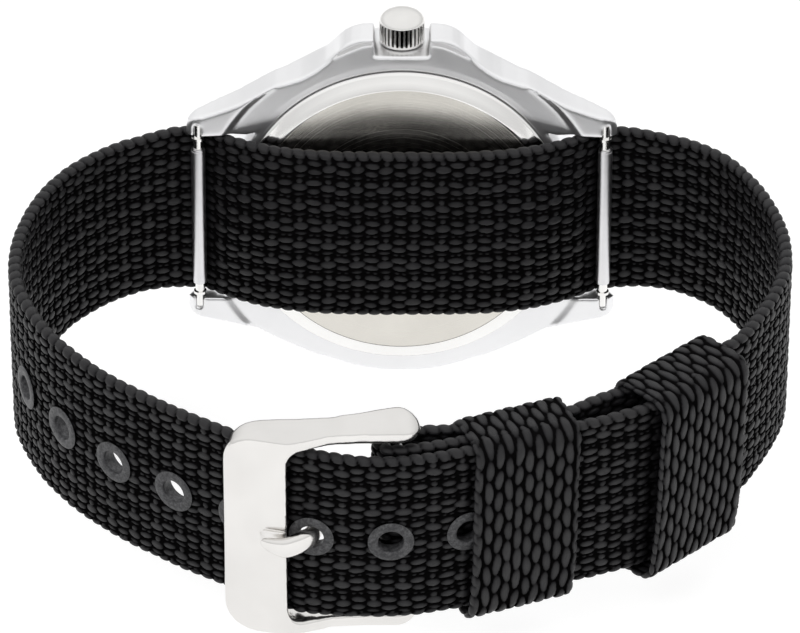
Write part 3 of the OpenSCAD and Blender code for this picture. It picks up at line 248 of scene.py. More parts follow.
def mesh_object(name, points, quads, uv=None, smooth=True, relief=None):
    """A mesh from points in the watch's frame and arrays of quads or lists of faces."""
    mesh = bpy.data.meshes.new(name)
    mesh.from_pydata(to_world(points).tolist(), [], [list(f) for f in quads])
    if uv is not None:
        layer = mesh.uv_layers.new(name="thread")
        corners = np.zeros(len(mesh.loops), np.int32)
        mesh.loops.foreach_get("vertex_index", corners)
        layer.data.foreach_set("uv", np.asarray(uv, np.float32)[corners].ravel())
    if relief is not None:
        layer = mesh.attributes.new("relief", "FLOAT", "POINT")
        layer.data.foreach_set("value", np.asarray(relief, np.float32).ravel())
    mesh.polygons.foreach_set("use_smooth", np.full(len(mesh.polygons), smooth))
    mesh.validate()
    mesh.update()
    return make_object(name, mesh)


def ring_quads(rows, cols, closed=False):
    """Quads over a tube whose points are rows of rings, on to the first ring again if it is closed."""
    index = np.arange(rows * cols).reshape(rows, cols)
    here = index if closed else index[:-1]
    below = np.roll(index, -1, axis=0)[:len(here)]
    return np.stack([here, np.roll(here, -1, axis=1), np.roll(below, -1, axis=1), below], -1)


def end_caps(rows, cols):
    return [list(range(cols))[::-1], list(range((rows - 1) * cols, rows * cols))]


def tube_faces(rows, cols):
    return ring_quads(rows, cols).reshape(-1, 4).tolist() + end_caps(rows, cols)


def points_of(mesh):
    flat = np.zeros(len(mesh.vertices) * 3)
    mesh.vertices.foreach_get("co", flat)
    return flat.reshape(-1, 3)


def move_points(mesh, points):
    """Moves a mesh's points to places in the watch's frame."""
    mesh.vertices.foreach_set("co", to_world(points).ravel())
    mesh.update()


def node_body(node):
    return body_of(frame["nodes"][node])[0]


def stand_for(piece, *nodes, slot=None):
    """The piece rides with its first node's body, in place of all the nodes."""
    body = node_body(nodes[0])
    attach(piece, body)
    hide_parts(*nodes)
    return piece


def lathe(name, section, place, steps=192, closed=True):
    """A turned piece. section is [radius, height] and place turns its axes into the watch's."""
    section = np.asarray(section, float)
    rows = len(section)
    angles = np.linspace(0, 2 * math.pi, steps, endpoint=False)
    ring = np.stack([np.cos(angles), np.sin(angles)], -1)
    heights = np.broadcast_to(section[:, None, 1:2], (rows, steps, 1))
    points = np.concatenate([section[:, None, :1] * ring[None], heights], -1)
    faces = []
    for i in range(rows if closed else rows - 1):
        j = (i + 1) % rows
        if section[i, 0] < 1e-6 and section[j, 0] < 1e-6:
            continue
        for k in range(steps):
            m = (k + 1) % steps
            faces.append((i * steps + k, i * steps + m, j * steps + m, j * steps + k))
    piece = mesh_object(name, place(points.reshape(-1, 3)), faces)
    clean_mesh(piece)
    return piece


def clean_mesh(piece, merge=1e-7):
    mesh = piece.data
    bm = bmesh.new()
    bm.from_mesh(mesh)
    bmesh.ops.remove_doubles(bm, verts=bm.verts, dist=merge)
    bmesh.ops.dissolve_degenerate(bm, edges=bm.edges, dist=merge / 10)
    bmesh.ops.recalc_face_normals(bm, faces=bm.faces)
    bm.to_mesh(mesh)
    bm.free()


def sharpen(piece, angle):
    piece.data.set_sharp_from_angle(angle=math.radians(angle))


def copy_of(node, prefix):
    """A cleaned copy of a CAD node without its material."""
    mesh = frame["nodes"][node].data.copy()
    mesh.materials.clear()
    piece = make_object(prefix + node, mesh)
    clean_mesh(piece, 2e-6)
    return piece


def refined(node, bevel):
    """A copy of a CAD node with its edges broken, standing for it."""
    piece = copy_of(node, "fine_")
    mesh = piece.data
    bm = bmesh.new()
    bm.from_mesh(mesh)
    bmesh.ops.dissolve_limit(
        bm, angle_limit=math.radians(1), use_dissolve_boundaries=False, verts=bm.verts, edges=bm.edges)
    bm.to_mesh(mesh)
    bm.free()
    mesh.polygons.foreach_set("use_smooth", np.full(len(mesh.polygons), True))
    mod = piece.modifiers.new("edges", "BEVEL")
    mod.width = bevel * MM
    mod.segments = 3
    mod.limit_method = "ANGLE"
    mod.angle_limit = math.radians(25)
    mod.harden_normals = True
    mod.use_clamp_overlap = True
    mod.miter_outer = "MITER_ARC"
    even = piece.modifiers.new("normals", "WEIGHTED_NORMAL")
    even.keep_sharp = True
    return stand_for(piece, node)


def softened(node, voxel, rounds, regain):
    """A copy of a CAD node with its edges rounded as by casting and polishing, standing for it."""
    piece = copy_of(node, "soft_")
    cells = piece.modifiers.new("cells", "REMESH")
    cells.mode = "VOXEL"
    cells.voxel_size = voxel * MM
    cells.use_smooth_shade = True
    melt = piece.modifiers.new("melt", "SMOOTH")
    melt.factor = 0.5
    melt.iterations = rounds
    puff = piece.modifiers.new("puff", "DISPLACE")
    puff.strength = regain * MM
    puff.mid_level = 0
    shaped = bpy.data.meshes.new_from_object(piece.evaluated_get(bpy.context.evaluated_depsgraph_get()))
    piece.modifiers.clear()
    piece.data = shaped
    return stand_for(piece, node)


# Materials
def new_material(name):
    material = bpy.data.materials.new(name)
    material.use_nodes = True
    tree = material.node_tree
    tree.nodes.clear()
    out = tree.nodes.new("ShaderNodeOutputMaterial")
    shader = tree.nodes.new("ShaderNodeBsdfPrincipled")
    tree.links.new(shader.outputs[0], out.inputs[0])
    return material, tree, shader


def texture_place(tree, scale=(1, 1, 1), kind="Object"):
    place = tree.nodes.new("ShaderNodeTexCoord")
    mapping = tree.nodes.new("ShaderNodeMapping")
    mapping.inputs["Scale"].default_value = scale
    tree.links.new(place.outputs[kind], mapping.inputs["Vector"])
    return mapping.outputs["Vector"]


def noise(tree, vector, scale, detail=3, rough=0.55):
    node = tree.nodes.new("ShaderNodeTexNoise")
    node.inputs["Scale"].default_value = scale
    node.inputs["Detail"].default_value = detail
    node.inputs["Roughness"].default_value = rough
    tree.links.new(vector, node.inputs["Vector"])
    return node.outputs["Fac"]


def remap(tree, value, low, high, from_low=0.3, from_high=0.7):
    node = tree.nodes.new("ShaderNodeMapRange")
    node.inputs["From Min"].default_value = from_low
    node.inputs["From Max"].default_value = from_high
    node.inputs["To Min"].default_value = low
    node.inputs["To Max"].default_value = high
    tree.links.new(value, node.inputs["Value"])
    return node.outputs["Result"]


def mix_colour(tree, factor, first, second):
    node = tree.nodes.new("ShaderNodeMix")
    node.data_type = "RGBA"
    sockets = [i for i in node.inputs if i.type == "RGBA"]
    for socket, colour in zip(sockets, (first, second)):
        if isinstance(colour, tuple):
            socket.default_value = (*colour, 1)
        else:
            tree.links.new(colour, socket)
    tree.links.new(factor, node.inputs["Factor"])
    return [o for o in node.outputs if o.type == "RGBA"][0]


def relief_of(tree):
    """The height that woven and fluted pieces carry on their points, which paints shade into their gaps and
    grooves.
    """
    node = tree.nodes.new("ShaderNodeAttribute")
    node.attribute_name = "relief"
    return node.outputs["Fac"]


def node_from(tree, kind, *values, operation=None):
    """A shader node whose first sockets take other nodes' sockets or plain values."""
    node = tree.nodes.new("ShaderNode" + kind)
    if operation:
        node.operation = operation
    for socket, value in zip(node.inputs, values):
        if isinstance(value, bpy.types.NodeSocket):
            tree.links.new(value, socket)
        else:
            socket.default_value = value
    return node


def colour_by(tree, shader, factor, first, second):
    tree.links.new(mix_colour(tree, factor, first, second), shader.inputs["Base Color"])


def roughen(tree, shader, value, low, high):
    tree.links.new(remap(tree, value, low, high), shader.inputs["Roughness"])


def bump(tree, shader, height, strength, distance):
    node = tree.nodes.new("ShaderNodeBump")
    node.inputs["Strength"].default_value = strength
    node.inputs["Distance"].default_value = distance * MM
    tree.links.new(height, node.inputs["Height"])
    tree.links.new(node.outputs[0], shader.inputs["Normal"])


def metal(name, colour, dark, rough, spread=0.06, grain=(1, 1, 1), grain_size=900, grain_depth=0.004,
          metallic=1.0):
    """Metal with cloudy colour, uneven polish and fine grain stretched along one axis."""
    material, tree, shader = new_material(name)
    cloud = noise(tree, texture_place(tree), 140)
    fine = noise(tree, texture_place(tree, grain), grain_size, 4, 0.6)
    colour_by(tree, shader, remap(tree, cloud, 0, 1), dark, colour)
    roughen(tree, shader, fine, rough - spread, rough + spread)
    shader.inputs["Metallic"].default_value = metallic
    bump(tree, shader, fine, 0.25, grain_depth)
    return material


def solid(name, colour, dark, rough, grain_size=600, depth=0.01):
    """Plastic, rubber, lacquer or ceramic with slight mottling and a fine surface texture."""
    material, tree, shader = new_material(name)
    even = texture_place(tree)
    cloud = noise(tree, even, 220)
    fine = noise(tree, even, grain_size, 4)
    colour_by(tree, shader, remap(tree, cloud, 0, 1), dark, colour)
    roughen(tree, shader, fine, rough - 0.05, rough + 0.05)
    bump(tree, shader, fine, 0.3, depth)
    return material


def grooved_metal(name):
    """Polished metal, painted dark in its grooves by the piece's relief: a painted shade."""
    material, tree, shader = new_material(name)
    cloud = noise(tree, texture_place(tree), 300)
    bright = mix_colour(tree, remap(tree, cloud, 0, 1), (0.80, 0.79, 0.77), (0.88, 0.87, 0.85))
    # The colour goes nearly black where the relief is low, in the grooves: painted shade.
    ridge = remap(tree, relief_of(tree), 0, 1, 0.2, 0.95)
    colour_by(tree, shader, ridge, (0.035, 0.032, 0.03), bright)
    roughen(tree, shader, cloud, 0.16, 0.24)
    shader.inputs["Metallic"].default_value = 1
    return material


def turned_metal(name, colour, dark, rough, rings, depth):
    """Metal with fine circular marks about the case's axis."""
    material, tree, shader = new_material(name)
    place = tree.nodes.new("ShaderNodeTexCoord").outputs["Object"]
    centred = node_from(tree, "VectorMath", place, tuple(ORIGIN), operation="SUBTRACT")
    flat = node_from(tree, "VectorMath", centred.outputs[0], (1, 0, 1), operation="MULTIPLY")
    radius = node_from(tree, "VectorMath", flat.outputs[0], operation="LENGTH")
    marks = tree.nodes.new("ShaderNodeTexNoise")
    marks.noise_dimensions = "1D"
    marks.inputs["Scale"].default_value = rings
    marks.inputs["Detail"].default_value = 4
    marks.inputs["Roughness"].default_value = 0.7
    tree.links.new(radius.outputs["Value"], marks.inputs["W"])
    cloud = noise(tree, texture_place(tree), 160)
    colour_by(tree, shader, remap(tree, cloud, 0, 1), dark, colour)
    roughen(tree, shader, marks.outputs["Fac"], rough - 0.06, rough + 0.06)
    shader.inputs["Metallic"].default_value = 1
    bump(tree, shader, marks.outputs["Fac"], 0.5, depth)
    return material


def webbing_material(name):
    """Black nylon thread, painted darker in the weave's gaps as painted shade. The thread map's first
    coordinate runs along the band, in millimetres.
    """
    material, tree, shader = new_material(name)
    fibre = noise(tree, texture_place(tree, (0.8, 4.2, 1), "UV"), 1.5, 4, 0.65)
    patch = noise(tree, texture_place(tree, kind="UV"), 0.9, 2)
    far = noise(tree, texture_place(tree, kind="UV"), 0.09, 2)
    relief = relief_of(tree)
    # The colour is darker where the relief is low, in the weave's gaps: painted shade.
    crest = remap(tree, relief, 0, 1, 0.12, 0.62)
    thread = mix_colour(
        tree, remap(tree, patch, 0, 1, 0.35, 0.65), (0.0075, 0.0072, 0.0085), (0.0125, 0.012, 0.0135))
    worn = mix_colour(tree, remap(tree, far, 0, 0.35, 0.4, 0.75), thread, (0.018, 0.0165, 0.017))
    colour_by(tree, shader, crest, (0.0046, 0.0043, 0.0045), worn)
    roughen(tree, shader, fibre, 0.38, 0.56)
    # The specular level is lower in the gaps too: painted shade on the sheen.
    tree.links.new(remap(tree, relief, 0.0, 0.42, 0.3, 0.8), shader.inputs["Specular IOR Level"])
    bump(tree, shader, fibre, 0.6, 0.09)
    return material


def worn_lacquer(name):
    """Grey lacquer, scuffed paler in small streaks."""
    material, tree, shader = new_material(name)
    even = texture_place(tree)
    scuff = noise(tree, even, 2600, 4, 0.7)
    grain = noise(tree, even, 6000, 2)
    worn = remap(tree, scuff, 0, 1, 0.42, 0.72)
    colour_by(tree, shader, worn, (0.035, 0.035, 0.038), (0.15, 0.15, 0.155))
    roughen(tree, shader, grain, 0.36, 0.56)
    shader.inputs["Specular IOR Level"].default_value = 0.45
    bump(tree, shader, scuff, 0.5, 0.04)
    return material


def glass_material(name):
    material, tree, shader = new_material(name)
    smear = noise(tree, texture_place(tree), 120)
    roughen(tree, shader, smear, 0.0, 0.015)
    colour_by(tree, shader, smear, (0.97, 0.99, 0.99), (0.93, 0.97, 0.97))
    shader.inputs["Transmission Weight"].default_value = 1
    shader.inputs["IOR"].default_value = 1.28
    return material


WEBBING = webbing_material("webbing")
THREAD = solid("thread", (0.03, 0.028, 0.03), (0.015, 0.014, 0.016), 0.5, 1500, 0.03)
SATIN = metal("satin_steel", (0.86, 0.855, 0.87), (0.80, 0.795, 0.81), 0.33, 0.04, (1, 1, 6), 700, 0.003)
CASE_METAL = metal("case_steel", (0.97, 0.97, 0.98), (0.93, 0.93, 0.94), 0.31, 0.02, grain_size=500,
                   grain_depth=0.001, metallic=0.92)
POLISHED = metal("polished_steel", (0.95, 0.945, 0.93), (0.91, 0.90, 0.885), 0.12, 0.04, grain_size=500,
                 grain_depth=0.002)
CROWN_METAL = grooved_metal("crown_steel")
BUCKLE_METAL = metal("buckle_steel", (0.82, 0.805, 0.785), (0.76, 0.745, 0.725), 0.19, 0.05, (1, 5, 1), 600,
                     0.003)
EYELET_METAL = worn_lacquer("eyelet_lacquer")
BACK_BRUSHED = turned_metal("back_brushed", (0.78, 0.755, 0.70), (0.71, 0.685, 0.635), 0.22, 9000, 0.006)
BRASS = metal("brass", (0.78, 0.60, 0.32), (0.68, 0.50, 0.25), 0.33, 0.05)
COPPER = metal("copper", (0.83, 0.42, 0.26), (0.70, 0.32, 0.18), 0.34, 0.05, (8, 1, 1), 1500, 0.02)
NICKEL = metal("nickel", (0.70, 0.69, 0.66), (0.62, 0.61, 0.58), 0.33, 0.05, (9, 1, 1), 700, 0.004)
WHITE_PLASTIC = solid("white_plastic", (0.78, 0.77, 0.74), (0.70, 0.69, 0.66), 0.45)
BLACK_RUBBER = solid("black_rubber", (0.025, 0.025, 0.025), (0.015, 0.015, 0.015), 0.6)
GREEN_BOARD = solid("circuit_board", (0.04, 0.18, 0.08), (0.02, 0.12, 0.05), 0.4)
DIAL_LACQUER = solid("dial_lacquer", (0.018, 0.018, 0.02), (0.011, 0.011, 0.012), 0.42, 1600, 0.01)
PRINT = solid("dial_print", (0.80, 0.80, 0.78), (0.74, 0.74, 0.72), 0.55)
LUME = solid("lume", (0.76, 0.80, 0.62), (0.70, 0.74, 0.55), 0.7, 1800, 0.02)
RED_LACQUER = solid("red_lacquer", (0.55, 0.02, 0.02), (0.45, 0.015, 0.015), 0.35)
GLASS = glass_material("mineral_glass")


def dress(piece, material):
    piece.data.materials.clear()
    piece.data.materials.append(material)
    return piece


# Weave: cells of two columns of thread floats. Each float: column, place along the column, place and half
# height as shares of the row pitch, half length as a share of the column, and height of its crest
COLUMN = 1.475
ROW = 2.27
FLOATS = [(1, 0, 0.85, 0.15, 0.27, 0.80), (1, 0, 0.515, 0.215, 0.58, 1.0), (1, 0, 0.135, 0.095, 0.46, 0.70),
          (0, 0, 0.755, 0.165, 0.58, 0.96), (0, 0, 0.33, 0.155, 0.54, 0.92),
          (0, -0.24, 0.055, 0.075, 0.22, 0.62), (0, 0.24, 0.055, 0.075, 0.22, 0.62)]
KEEPER_FLOATS = [(0, 0, 0.25, 0.235, 1.04, 1.0), (1, 0, 0.75, 0.235, 1.04, 1.0)]
KEEPER_COLUMN = 1.25
KEEPER_ROW = 2.1


def hashed(a, b, c):
    """A repeatable share from 0 to 1 for each thread."""
    return np.modf(np.abs(np.sin(a * 12.9898 + b * 78.233 + c * 37.719) * 43758.5453))[0]


def pillow(u, v, along=2.0):
    """Height of a float over an oval of half size 1, flat on top and steep at its rim."""
    return np.clip(1 - np.abs(u) ** along - np.abs(v) ** 2.3, 0, 1) ** 0.42


def weave(s, w, column, row, floats):
    """Height of the weave, 0 in the gaps and 1 on the floats, whose lower edges stand proud like shingles."""
    s, w = np.broadcast_arrays(s, w)
    w = w + 0.06 * np.sin(s * 0.61 + w * 0.3) + 0.035 * np.sin(s * 2.3 - w * 1.1)
    s = s + 0.09 * np.sin(w * 0.9 + s * 0.05) + 0.05 * np.sin(w * 2.7 + s * 0.4)
    best = np.zeros(s.shape)
    for shift in (-1, 0, 1):
        cell = np.floor(s / column) + shift
        u = s / column - cell - 0.5
        for kind, aside, place, half, length, crest in floats:
            lane = np.round(w / row - place)
            chance = hashed(cell, lane, place + aside)
            v = (w / row - place - lane + 0.03 * u * (1 if kind else -1) + 0.035 * (chance - 0.5)) / half
            reach = length * (0.9 + 0.22 * np.modf(chance * 7.3)[0])
            height = crest * (0.84 + 0.2 * np.modf(chance * 3.7)[0]) * pillow((u - aside) / reach, v, 1.7)
            height = height * (0.9 - 0.1 * np.clip(v, -1, 1))
            best = np.maximum(best, np.where(cell % 2 == kind, height, 0))
    return best


# Lumps round a band's edge, one thread's turn each: pitch, share of the edge, slant and deeper gaps
EDGE_PITCH = 1.3
EDGE_HALF = 0.82
EDGE_SLANT = 0.45
EDGE_DEPTH = 1.35


def selvedge(s, turn):
    """Height of the lumps round a band's edge, where turn runs from 0 to 1."""
    u = s / EDGE_PITCH + EDGE_SLANT * (turn - 0.5) + 0.05 * np.sin(s * 0.7)
    chance = hashed(np.floor(u), 0.3, 1.0)
    within = u - np.floor(u) - 0.5
    return (0.84 + 0.16 * chance) * pillow(within / 0.53, (turn - 0.5) / EDGE_HALF)


# Depth of the weave's gaps, the mesh's steps along and across a band, and the width of its rounded edge
RELIEF = 0.26
STEP_ALONG = 0.16
STEP_ACROSS = 0.13
EDGE_SHARE = 0.62


def band_section(half, thick):
    """Points round a band's section: places across and through it, outward normal, turn round the edge, and
    which points are edge."""
    flat = half - EDGE_SHARE
    count = int(round(2 * flat / STEP_ACROSS)) + 1
    across = np.linspace(-flat, flat, count)
    turns = np.linspace(0, 1, 12)[1:-1]
    angle = math.pi * turns
    face = np.zeros(count)
    ends = np.concatenate
    bulge, drop = EDGE_SHARE * np.sin(angle), thick / 2 * np.cos(angle)
    w = ends([across, flat + bulge, across[::-1], -flat - bulge])
    t = ends([face + thick / 2, drop, face - thick / 2, -drop])
    nw = ends([face, np.sin(angle), face, -np.sin(angle)])
    nt = ends([face + 1, np.cos(angle), face - 1, -np.cos(angle)])
    inland = (flat - np.abs(across)) / (math.pi / 2 * (thick / 2 + EDGE_SHARE))
    turn = ends([-inland, turns, 1 + inland, 1 - turns])
    kind = ends([face, turns * 0 + 1, face, turns * 0 + 1])
    return w, t, nw, nt, turn, kind


def woven_band(name, s, centre, across, out, half, thick, bow=None, spread=None, closed=False, holes=(),
               pattern=(COLUMN, ROW, FLOATS), edge=0.95, phase=0.0):
    """A woven band. centre, across and out are places and directions at each length s. bow lifts its middle,
    spread widens it, and holes are the lengths at which it is punched."""
    w, t, nw, nt, turn, kind = band_section(half, thick)
    S = s[:, None]
    face = weave(S, w[None, :] + phase, *pattern)
    rope = selvedge(S, turn[None, :])
    near = smooth_step((np.abs(w) - (half - edge)) / 0.4)[None, :]
    height = face * (1 - near) + rope * near
    drop = -RELIEF * (1 - height) * (1 + (EDGE_DEPTH - 1) * near)
    wide = w[None, :] + nw[None, :] * drop
    if spread is not None:
        wide = wide * spread[:, None]
    deep = t[None, :] + nt[None, :] * drop
    points = centre[:, None] + across[:, None] * wide[..., None] + out[:, None] * deep[..., None]
    if bow is not None:
        points = points + bow[:, None] * (1 - np.abs(wide) / half)[..., None]
    quads = ring_quads(*height.shape, closed)
    gone = np.zeros(quads.shape[:2], bool)
    on_a_face = kind + np.roll(kind, -1) == 0
    for hole_s in holes:
        inside = ((S[:len(gone)] - hole_s) / PUNCH_R) ** 2 + (w[None, :] / PUNCH_R) ** 2 < 1
        gone |= inside & on_a_face
    faces = quads[~gone].tolist()
    if not closed:
        faces += end_caps(*height.shape)
    length_map = np.broadcast_to(S, height.shape)
    round_map = np.cumsum(np.concatenate([[0], np.hypot(np.diff(w), np.diff(t))]))
    uv = np.stack([length_map, np.broadcast_to(round_map[None], height.shape)], -1).reshape(-1, 2)
    return mesh_object(name, points.reshape(-1, 3), faces, uv, relief=height)


# How much the buckle's plate spreads the tail and over what run, and the reach of a slope's measure
PLATE_SPREAD = 0.038
PLATE_SPREAD_RUN = 3.6
SLOPE_REACH = 0.35
# Eyelets, counted along the strap from the one that the tang goes through
EYELETS = range(-5, 3)
PUNCH_R = 1.75


def make_strap():
    """The whole band along its route: upright behind the case and leaning with the loop beyond the bars."""
    s = np.linspace(0, STRAP_LENGTH, int(STRAP_LENGTH / STEP_ALONG) + 1)
    p = point_at(s)
    v = point_at(np.minimum(s + SLOPE_REACH, STRAP_LENGTH)) - point_at(np.maximum(s - SLOPE_REACH, 0))
    v /= np.linalg.norm(v, axis=1)[:, None]
    n = turn_in(v)
    x, q = p[:, 0], p[:, 1]
    lean = LOOP_TILT * np.where(q >= 10, 1, smooth_step((np.abs(x) - LUG_BAR_X) / LEAN_RUN))
    # The bow over the case back's rim starts inside the lug bars and is lower in the back's middle
    bow = RIM_BOW * smooth_step((LUG_BAR_X - BOW_START - np.abs(x)) / BOW_RUN)
    bow = bow * (BOW_MIDDLE + (1 - BOW_MIDDLE) * smooth_step((np.abs(x) - 8) / 6))
    bow = np.where((np.abs(x) > LUG_BAR_X) | (q > 10), 0, bow)
    cos, sin, zero = np.cos(lean), np.sin(lean), np.zeros(len(s))
    centre = np.stack([x, -q * cos, -q * sin], -1)
    across = np.stack([zero, -sin, cos], -1)
    out = -np.stack([n[:, 0], -n[:, 1] * cos, -n[:, 1] * sin], -1)
    lift = np.stack([zero, -bow * cos, -bow * sin], -1)
    # The tail spreads a little where the buckle's plate presses it
    pressed = length_at_x(BUCKLE_BAR[0] - TANG_REACH - 1)
    spread = 1 + PLATE_SPREAD * np.exp(-(((s - pressed) / PLATE_SPREAD_RUN) ** 2))
    holes = [TANG_HOLE_S + k * EYELET_PITCH for k in EYELETS]
    strap = woven_band("webbing_strap", s, centre, across, out, STRAP_HALF, STRAP_T, lift, spread, holes=holes)
    dress(strap, WEBBING)
    stand_for(strap, "strap_webbing", slot="webbing")


def make_keeper(name, node, s_at, layers, slack, sag, length, ahead, lean):
    """A ring of webbing round the strap's layers with some slack inside the loop. It sags across the strap, is
    moved ahead along it from its node's place, and leans."""
    place, heading, inward, across = on_strap(s_at)
    y_out = -STRAP_T / 2 - KEEPER_ROOM - KEEPER_T / 2
    y_in = (layers - 1) * LAYER_PITCH + STRAP_T / 2 + slack + KEEPER_T / 2
    z_half = STRAP_HALF + KEEPER_ROOM / 2 + KEEPER_T / 2
    low_y, high_y, far_z = y_out + KEEPER_CORNER_R, y_in - KEEPER_CORNER_R, z_half - KEEPER_CORNER_R
    outline = []
    for cy, cz, start in ((low_y, far_z, 90), (low_y, -far_z, 180), (high_y, -far_z, 270), (high_y, far_z, 0)):
        for a in np.radians(np.arange(start, start + 91, 10)):
            outline.append((cy + KEEPER_CORNER_R * math.cos(a), cz + KEEPER_CORNER_R * math.sin(a) - sag))
    outline = np.array(outline + outline[:1])
    along = lengths_along(outline)
    girth = along[-1]
    column = girth / (2 * round(girth / 2 / KEEPER_COLUMN))

    def on_ring(r):
        return np.stack([np.interp(r % girth, along, outline[:, k]) for k in (0, 1)], -1)

    r = np.linspace(0, girth, int(girth / STEP_ALONG), endpoint=False)
    y, z = on_ring(r).T
    # The front hangs a little clear of the strap between its folded edges
    y = y - KEEPER_HANG * np.where(y < 0, np.cos(np.clip(z / z_half, -1, 1) * math.pi / 2), 0)
    v = on_ring(r + 0.3) - on_ring(r - 0.3)
    v /= np.linalg.norm(v, axis=1)[:, None]
    ny, nz = v[:, 1], -v[:, 0]
    flip = np.median(np.sign((y - (y_out + y_in) / 2) * ny + z * nz))
    centre = place + inward * y[:, None] + across * z[:, None]
    out = (inward * ny[:, None] + across * nz[:, None]) * flip
    # Each edge wanders a little, as a cut and sewn ring does
    skew = ahead + lean * z / z_half + 0.12 * np.sin(r * 0.31 + s_at)
    centre = centre + heading * skew[:, None]
    side = np.broadcast_to(heading, centre.shape)
    band = woven_band(name, r, centre, side, out, length / 2, KEEPER_T, closed=True,
                      pattern=(column, KEEPER_ROW, KEEPER_FLOATS), edge=0.5, phase=0.4)
    dress(band, WEBBING)
    stand_for(band, node, slot="webbing")


def make_eyelets():
    """Pressed eyelets: a rolled flange on each face and a barrel between them. at is the height of a face."""
    hole, flange, barrel = 1.26, 2.28, 1.6
    at = STRAP_T / 2 + 0.02
    front = [(hole, 0.2 - at), (hole, 0.02 - at), (hole + 0.05, -at - 0.08), (hole + 0.16, -at - 0.13),
             (1.75, -at - 0.15), (2.1, -at - 0.11), (flange, -at - 0.03), (flange - 0.03, -at + 0.02)]
    back = [(flange - 0.03, at - 0.02), (flange, at + 0.03), (2.05, at + 0.1), (1.8, at + 0.12),
            (1.6, at + 0.08), (1.5, at - 0.04), (1.4, at - 0.4)]
    section = front + [(barrel, -at + 0.02), (barrel, at - 0.02)] + back
    for number, k in enumerate(EYELETS, 1):
        place, heading, inward, across = on_strap(TANG_HOLE_S + k * EYELET_PITCH)

        def lay(points):
            points = np.asarray(points)
            return place + heading * points[:, :1] + across * points[:, 1:2] + inward * points[:, 2:3]

        piece = dress(lathe(f"eyelet_{number}", section, lay, 64), EYELET_METAL)
        sharpen(piece, 50)
        stand_for(piece, "strap_eyelets")


# Middle line of the tang from its loop to its tip on the plate: place from the buckle's bar to the right, to
# the front and across, half width and half thickness
TANG_LINE = [(-1.0, 0.3, 0, 0.84, 0.42), (-4, 0.42, 0, 0.84, 0.42), (-6.1, 0.7, 0, 0.82, 0.42),
             (-7.2, 1.25, 0, 0.95, 0.6), (-7.85, 2.3, 0, 0.96, 0.74), (-8.25, 3.3, 0, 1.0, 0.76),
             (-9.15, 4.3, 0.05, 1.18, 0.7), (-10.5, 4.8, -0.25, 1.15, 0.6), (-11.5, 4.78, -0.2, 0.95, 0.52),
             (-12.4, 4.55, -0.05, 0.7, 0.42), (-12.9, 4.35, 0.05, 0.4, 0.26), (-13.02, 4.25, 0.05, 0.16, 0.12)]
# Outer and inner radius of the tang's loop, and half its width
TANG_LOOP = (1.62, 0.86, 0.84)


def make_tang():
    """A forged tongue through the eyelet, and the loop that holds it to the bar."""
    x, out, aside, half, thick = spline(TANG_LINE, 8).T
    place = np.stack([BUCKLE_BAR[0] + x, BUCKLE_BAR[1] + out], -1)
    v = slopes(place)
    n = turn_in(v)
    angles = np.linspace(0, 2 * math.pi, 28, endpoint=False)
    round_w, round_t = (np.sign(side) * np.abs(side) ** 0.8 for side in (np.cos(angles), np.sin(angles)))
    plane = place[:, None] + n[:, None] * (thick[:, None] * round_t)[..., None]
    points = in_loop(plane[..., 0], plane[..., 1], aside[:, None] + half[:, None] * round_w)
    tongue = mesh_object("buckle_tongue", points.reshape(-1, 3), tube_faces(*points.shape[:2]))
    clean_mesh(tongue)
    outer, inner, half_w = TANG_LOOP
    soft = 0.2
    section = [(inner, soft - half_w), (inner + soft, -half_w), (outer - soft, -half_w), (outer, soft - half_w),
               (outer, half_w - soft), (outer - soft, half_w), (inner + soft, half_w), (inner, half_w - soft)]

    def lay(p):
        p = np.asarray(p)
        return in_loop(BUCKLE_BAR[0] + p[:, 0], BUCKLE_BAR[1] + p[:, 1], p[:, 2])

    loop = lathe("buckle_tongue_loop", section, lay, 64)
    for piece in (tongue, loop):
        dress(piece, BUCKLE_METAL)
        stand_for(piece, "buckle_tang")


# Coil springs inside the spring bars: half length of each
SPRING_HALVES = {"lug_bar_12": 5.15, "lug_bar_6": 5.15, "buckle_bar": 5.75}
SPRING_R = 0.41
SPRING_WIRE_R = 0.07
SPRING_HALF_TURNS = 4.5
SPRING_STEPS = 24


def make_springs():
    """Each spring in two halves, both riding with the spring's body."""
    side, up = np.array([1.0, 0, 0]), np.array([0, 0, 1.0])
    places = {"lug_bar_12": (side * LUG_BAR_X, up), "lug_bar_6": (-side * LUG_BAR_X, up),
              "buckle_bar": (in_loop(*BUCKLE_BAR, 0), in_loop(0, 0, 1))}
    full_turn = SPRING_HALF_TURNS * 2 * math.pi
    for bar, half in SPRING_HALVES.items():
        centre, along = places[bar]
        front = np.cross(along, side)
        for end, sign in (("upper", 1), ("lower", -1)):
            turn = np.linspace(0, full_turn, int(SPRING_HALF_TURNS * SPRING_STEPS) + 1)[:, None] * sign
            ring = np.linspace(0, 2 * math.pi, 8, endpoint=False)[None]
            r = SPRING_R + SPRING_WIRE_R * np.cos(ring)
            z = turn / full_turn * half + SPRING_WIRE_R * np.sin(ring)
            points = (centre + (r * np.cos(turn))[..., None] * side + (r * np.sin(turn))[..., None] * front
                      + z[..., None] * along)
            piece = mesh_object(f"{bar}_spring_{end}", points.reshape(-1, 3), tube_faces(*points.shape[:2]))
            clean_mesh(piece, 1e-8)
            dress(piece, NICKEL)
            stand_for(piece, bar + "_spring")
            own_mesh(piece)


# Crown: its axis's distance from the lug bars towards the dial, its radius and its flutes
CROWN_Z = 3.6
CROWN_R = 2.35
CROWN_FLUTES = 30
FLUTE_STEPS = 14
# Half width of a groove as a share of the pitch, and its depth
GROOVE_HALF = 0.27
GROOVE_DEPTH = 0.26


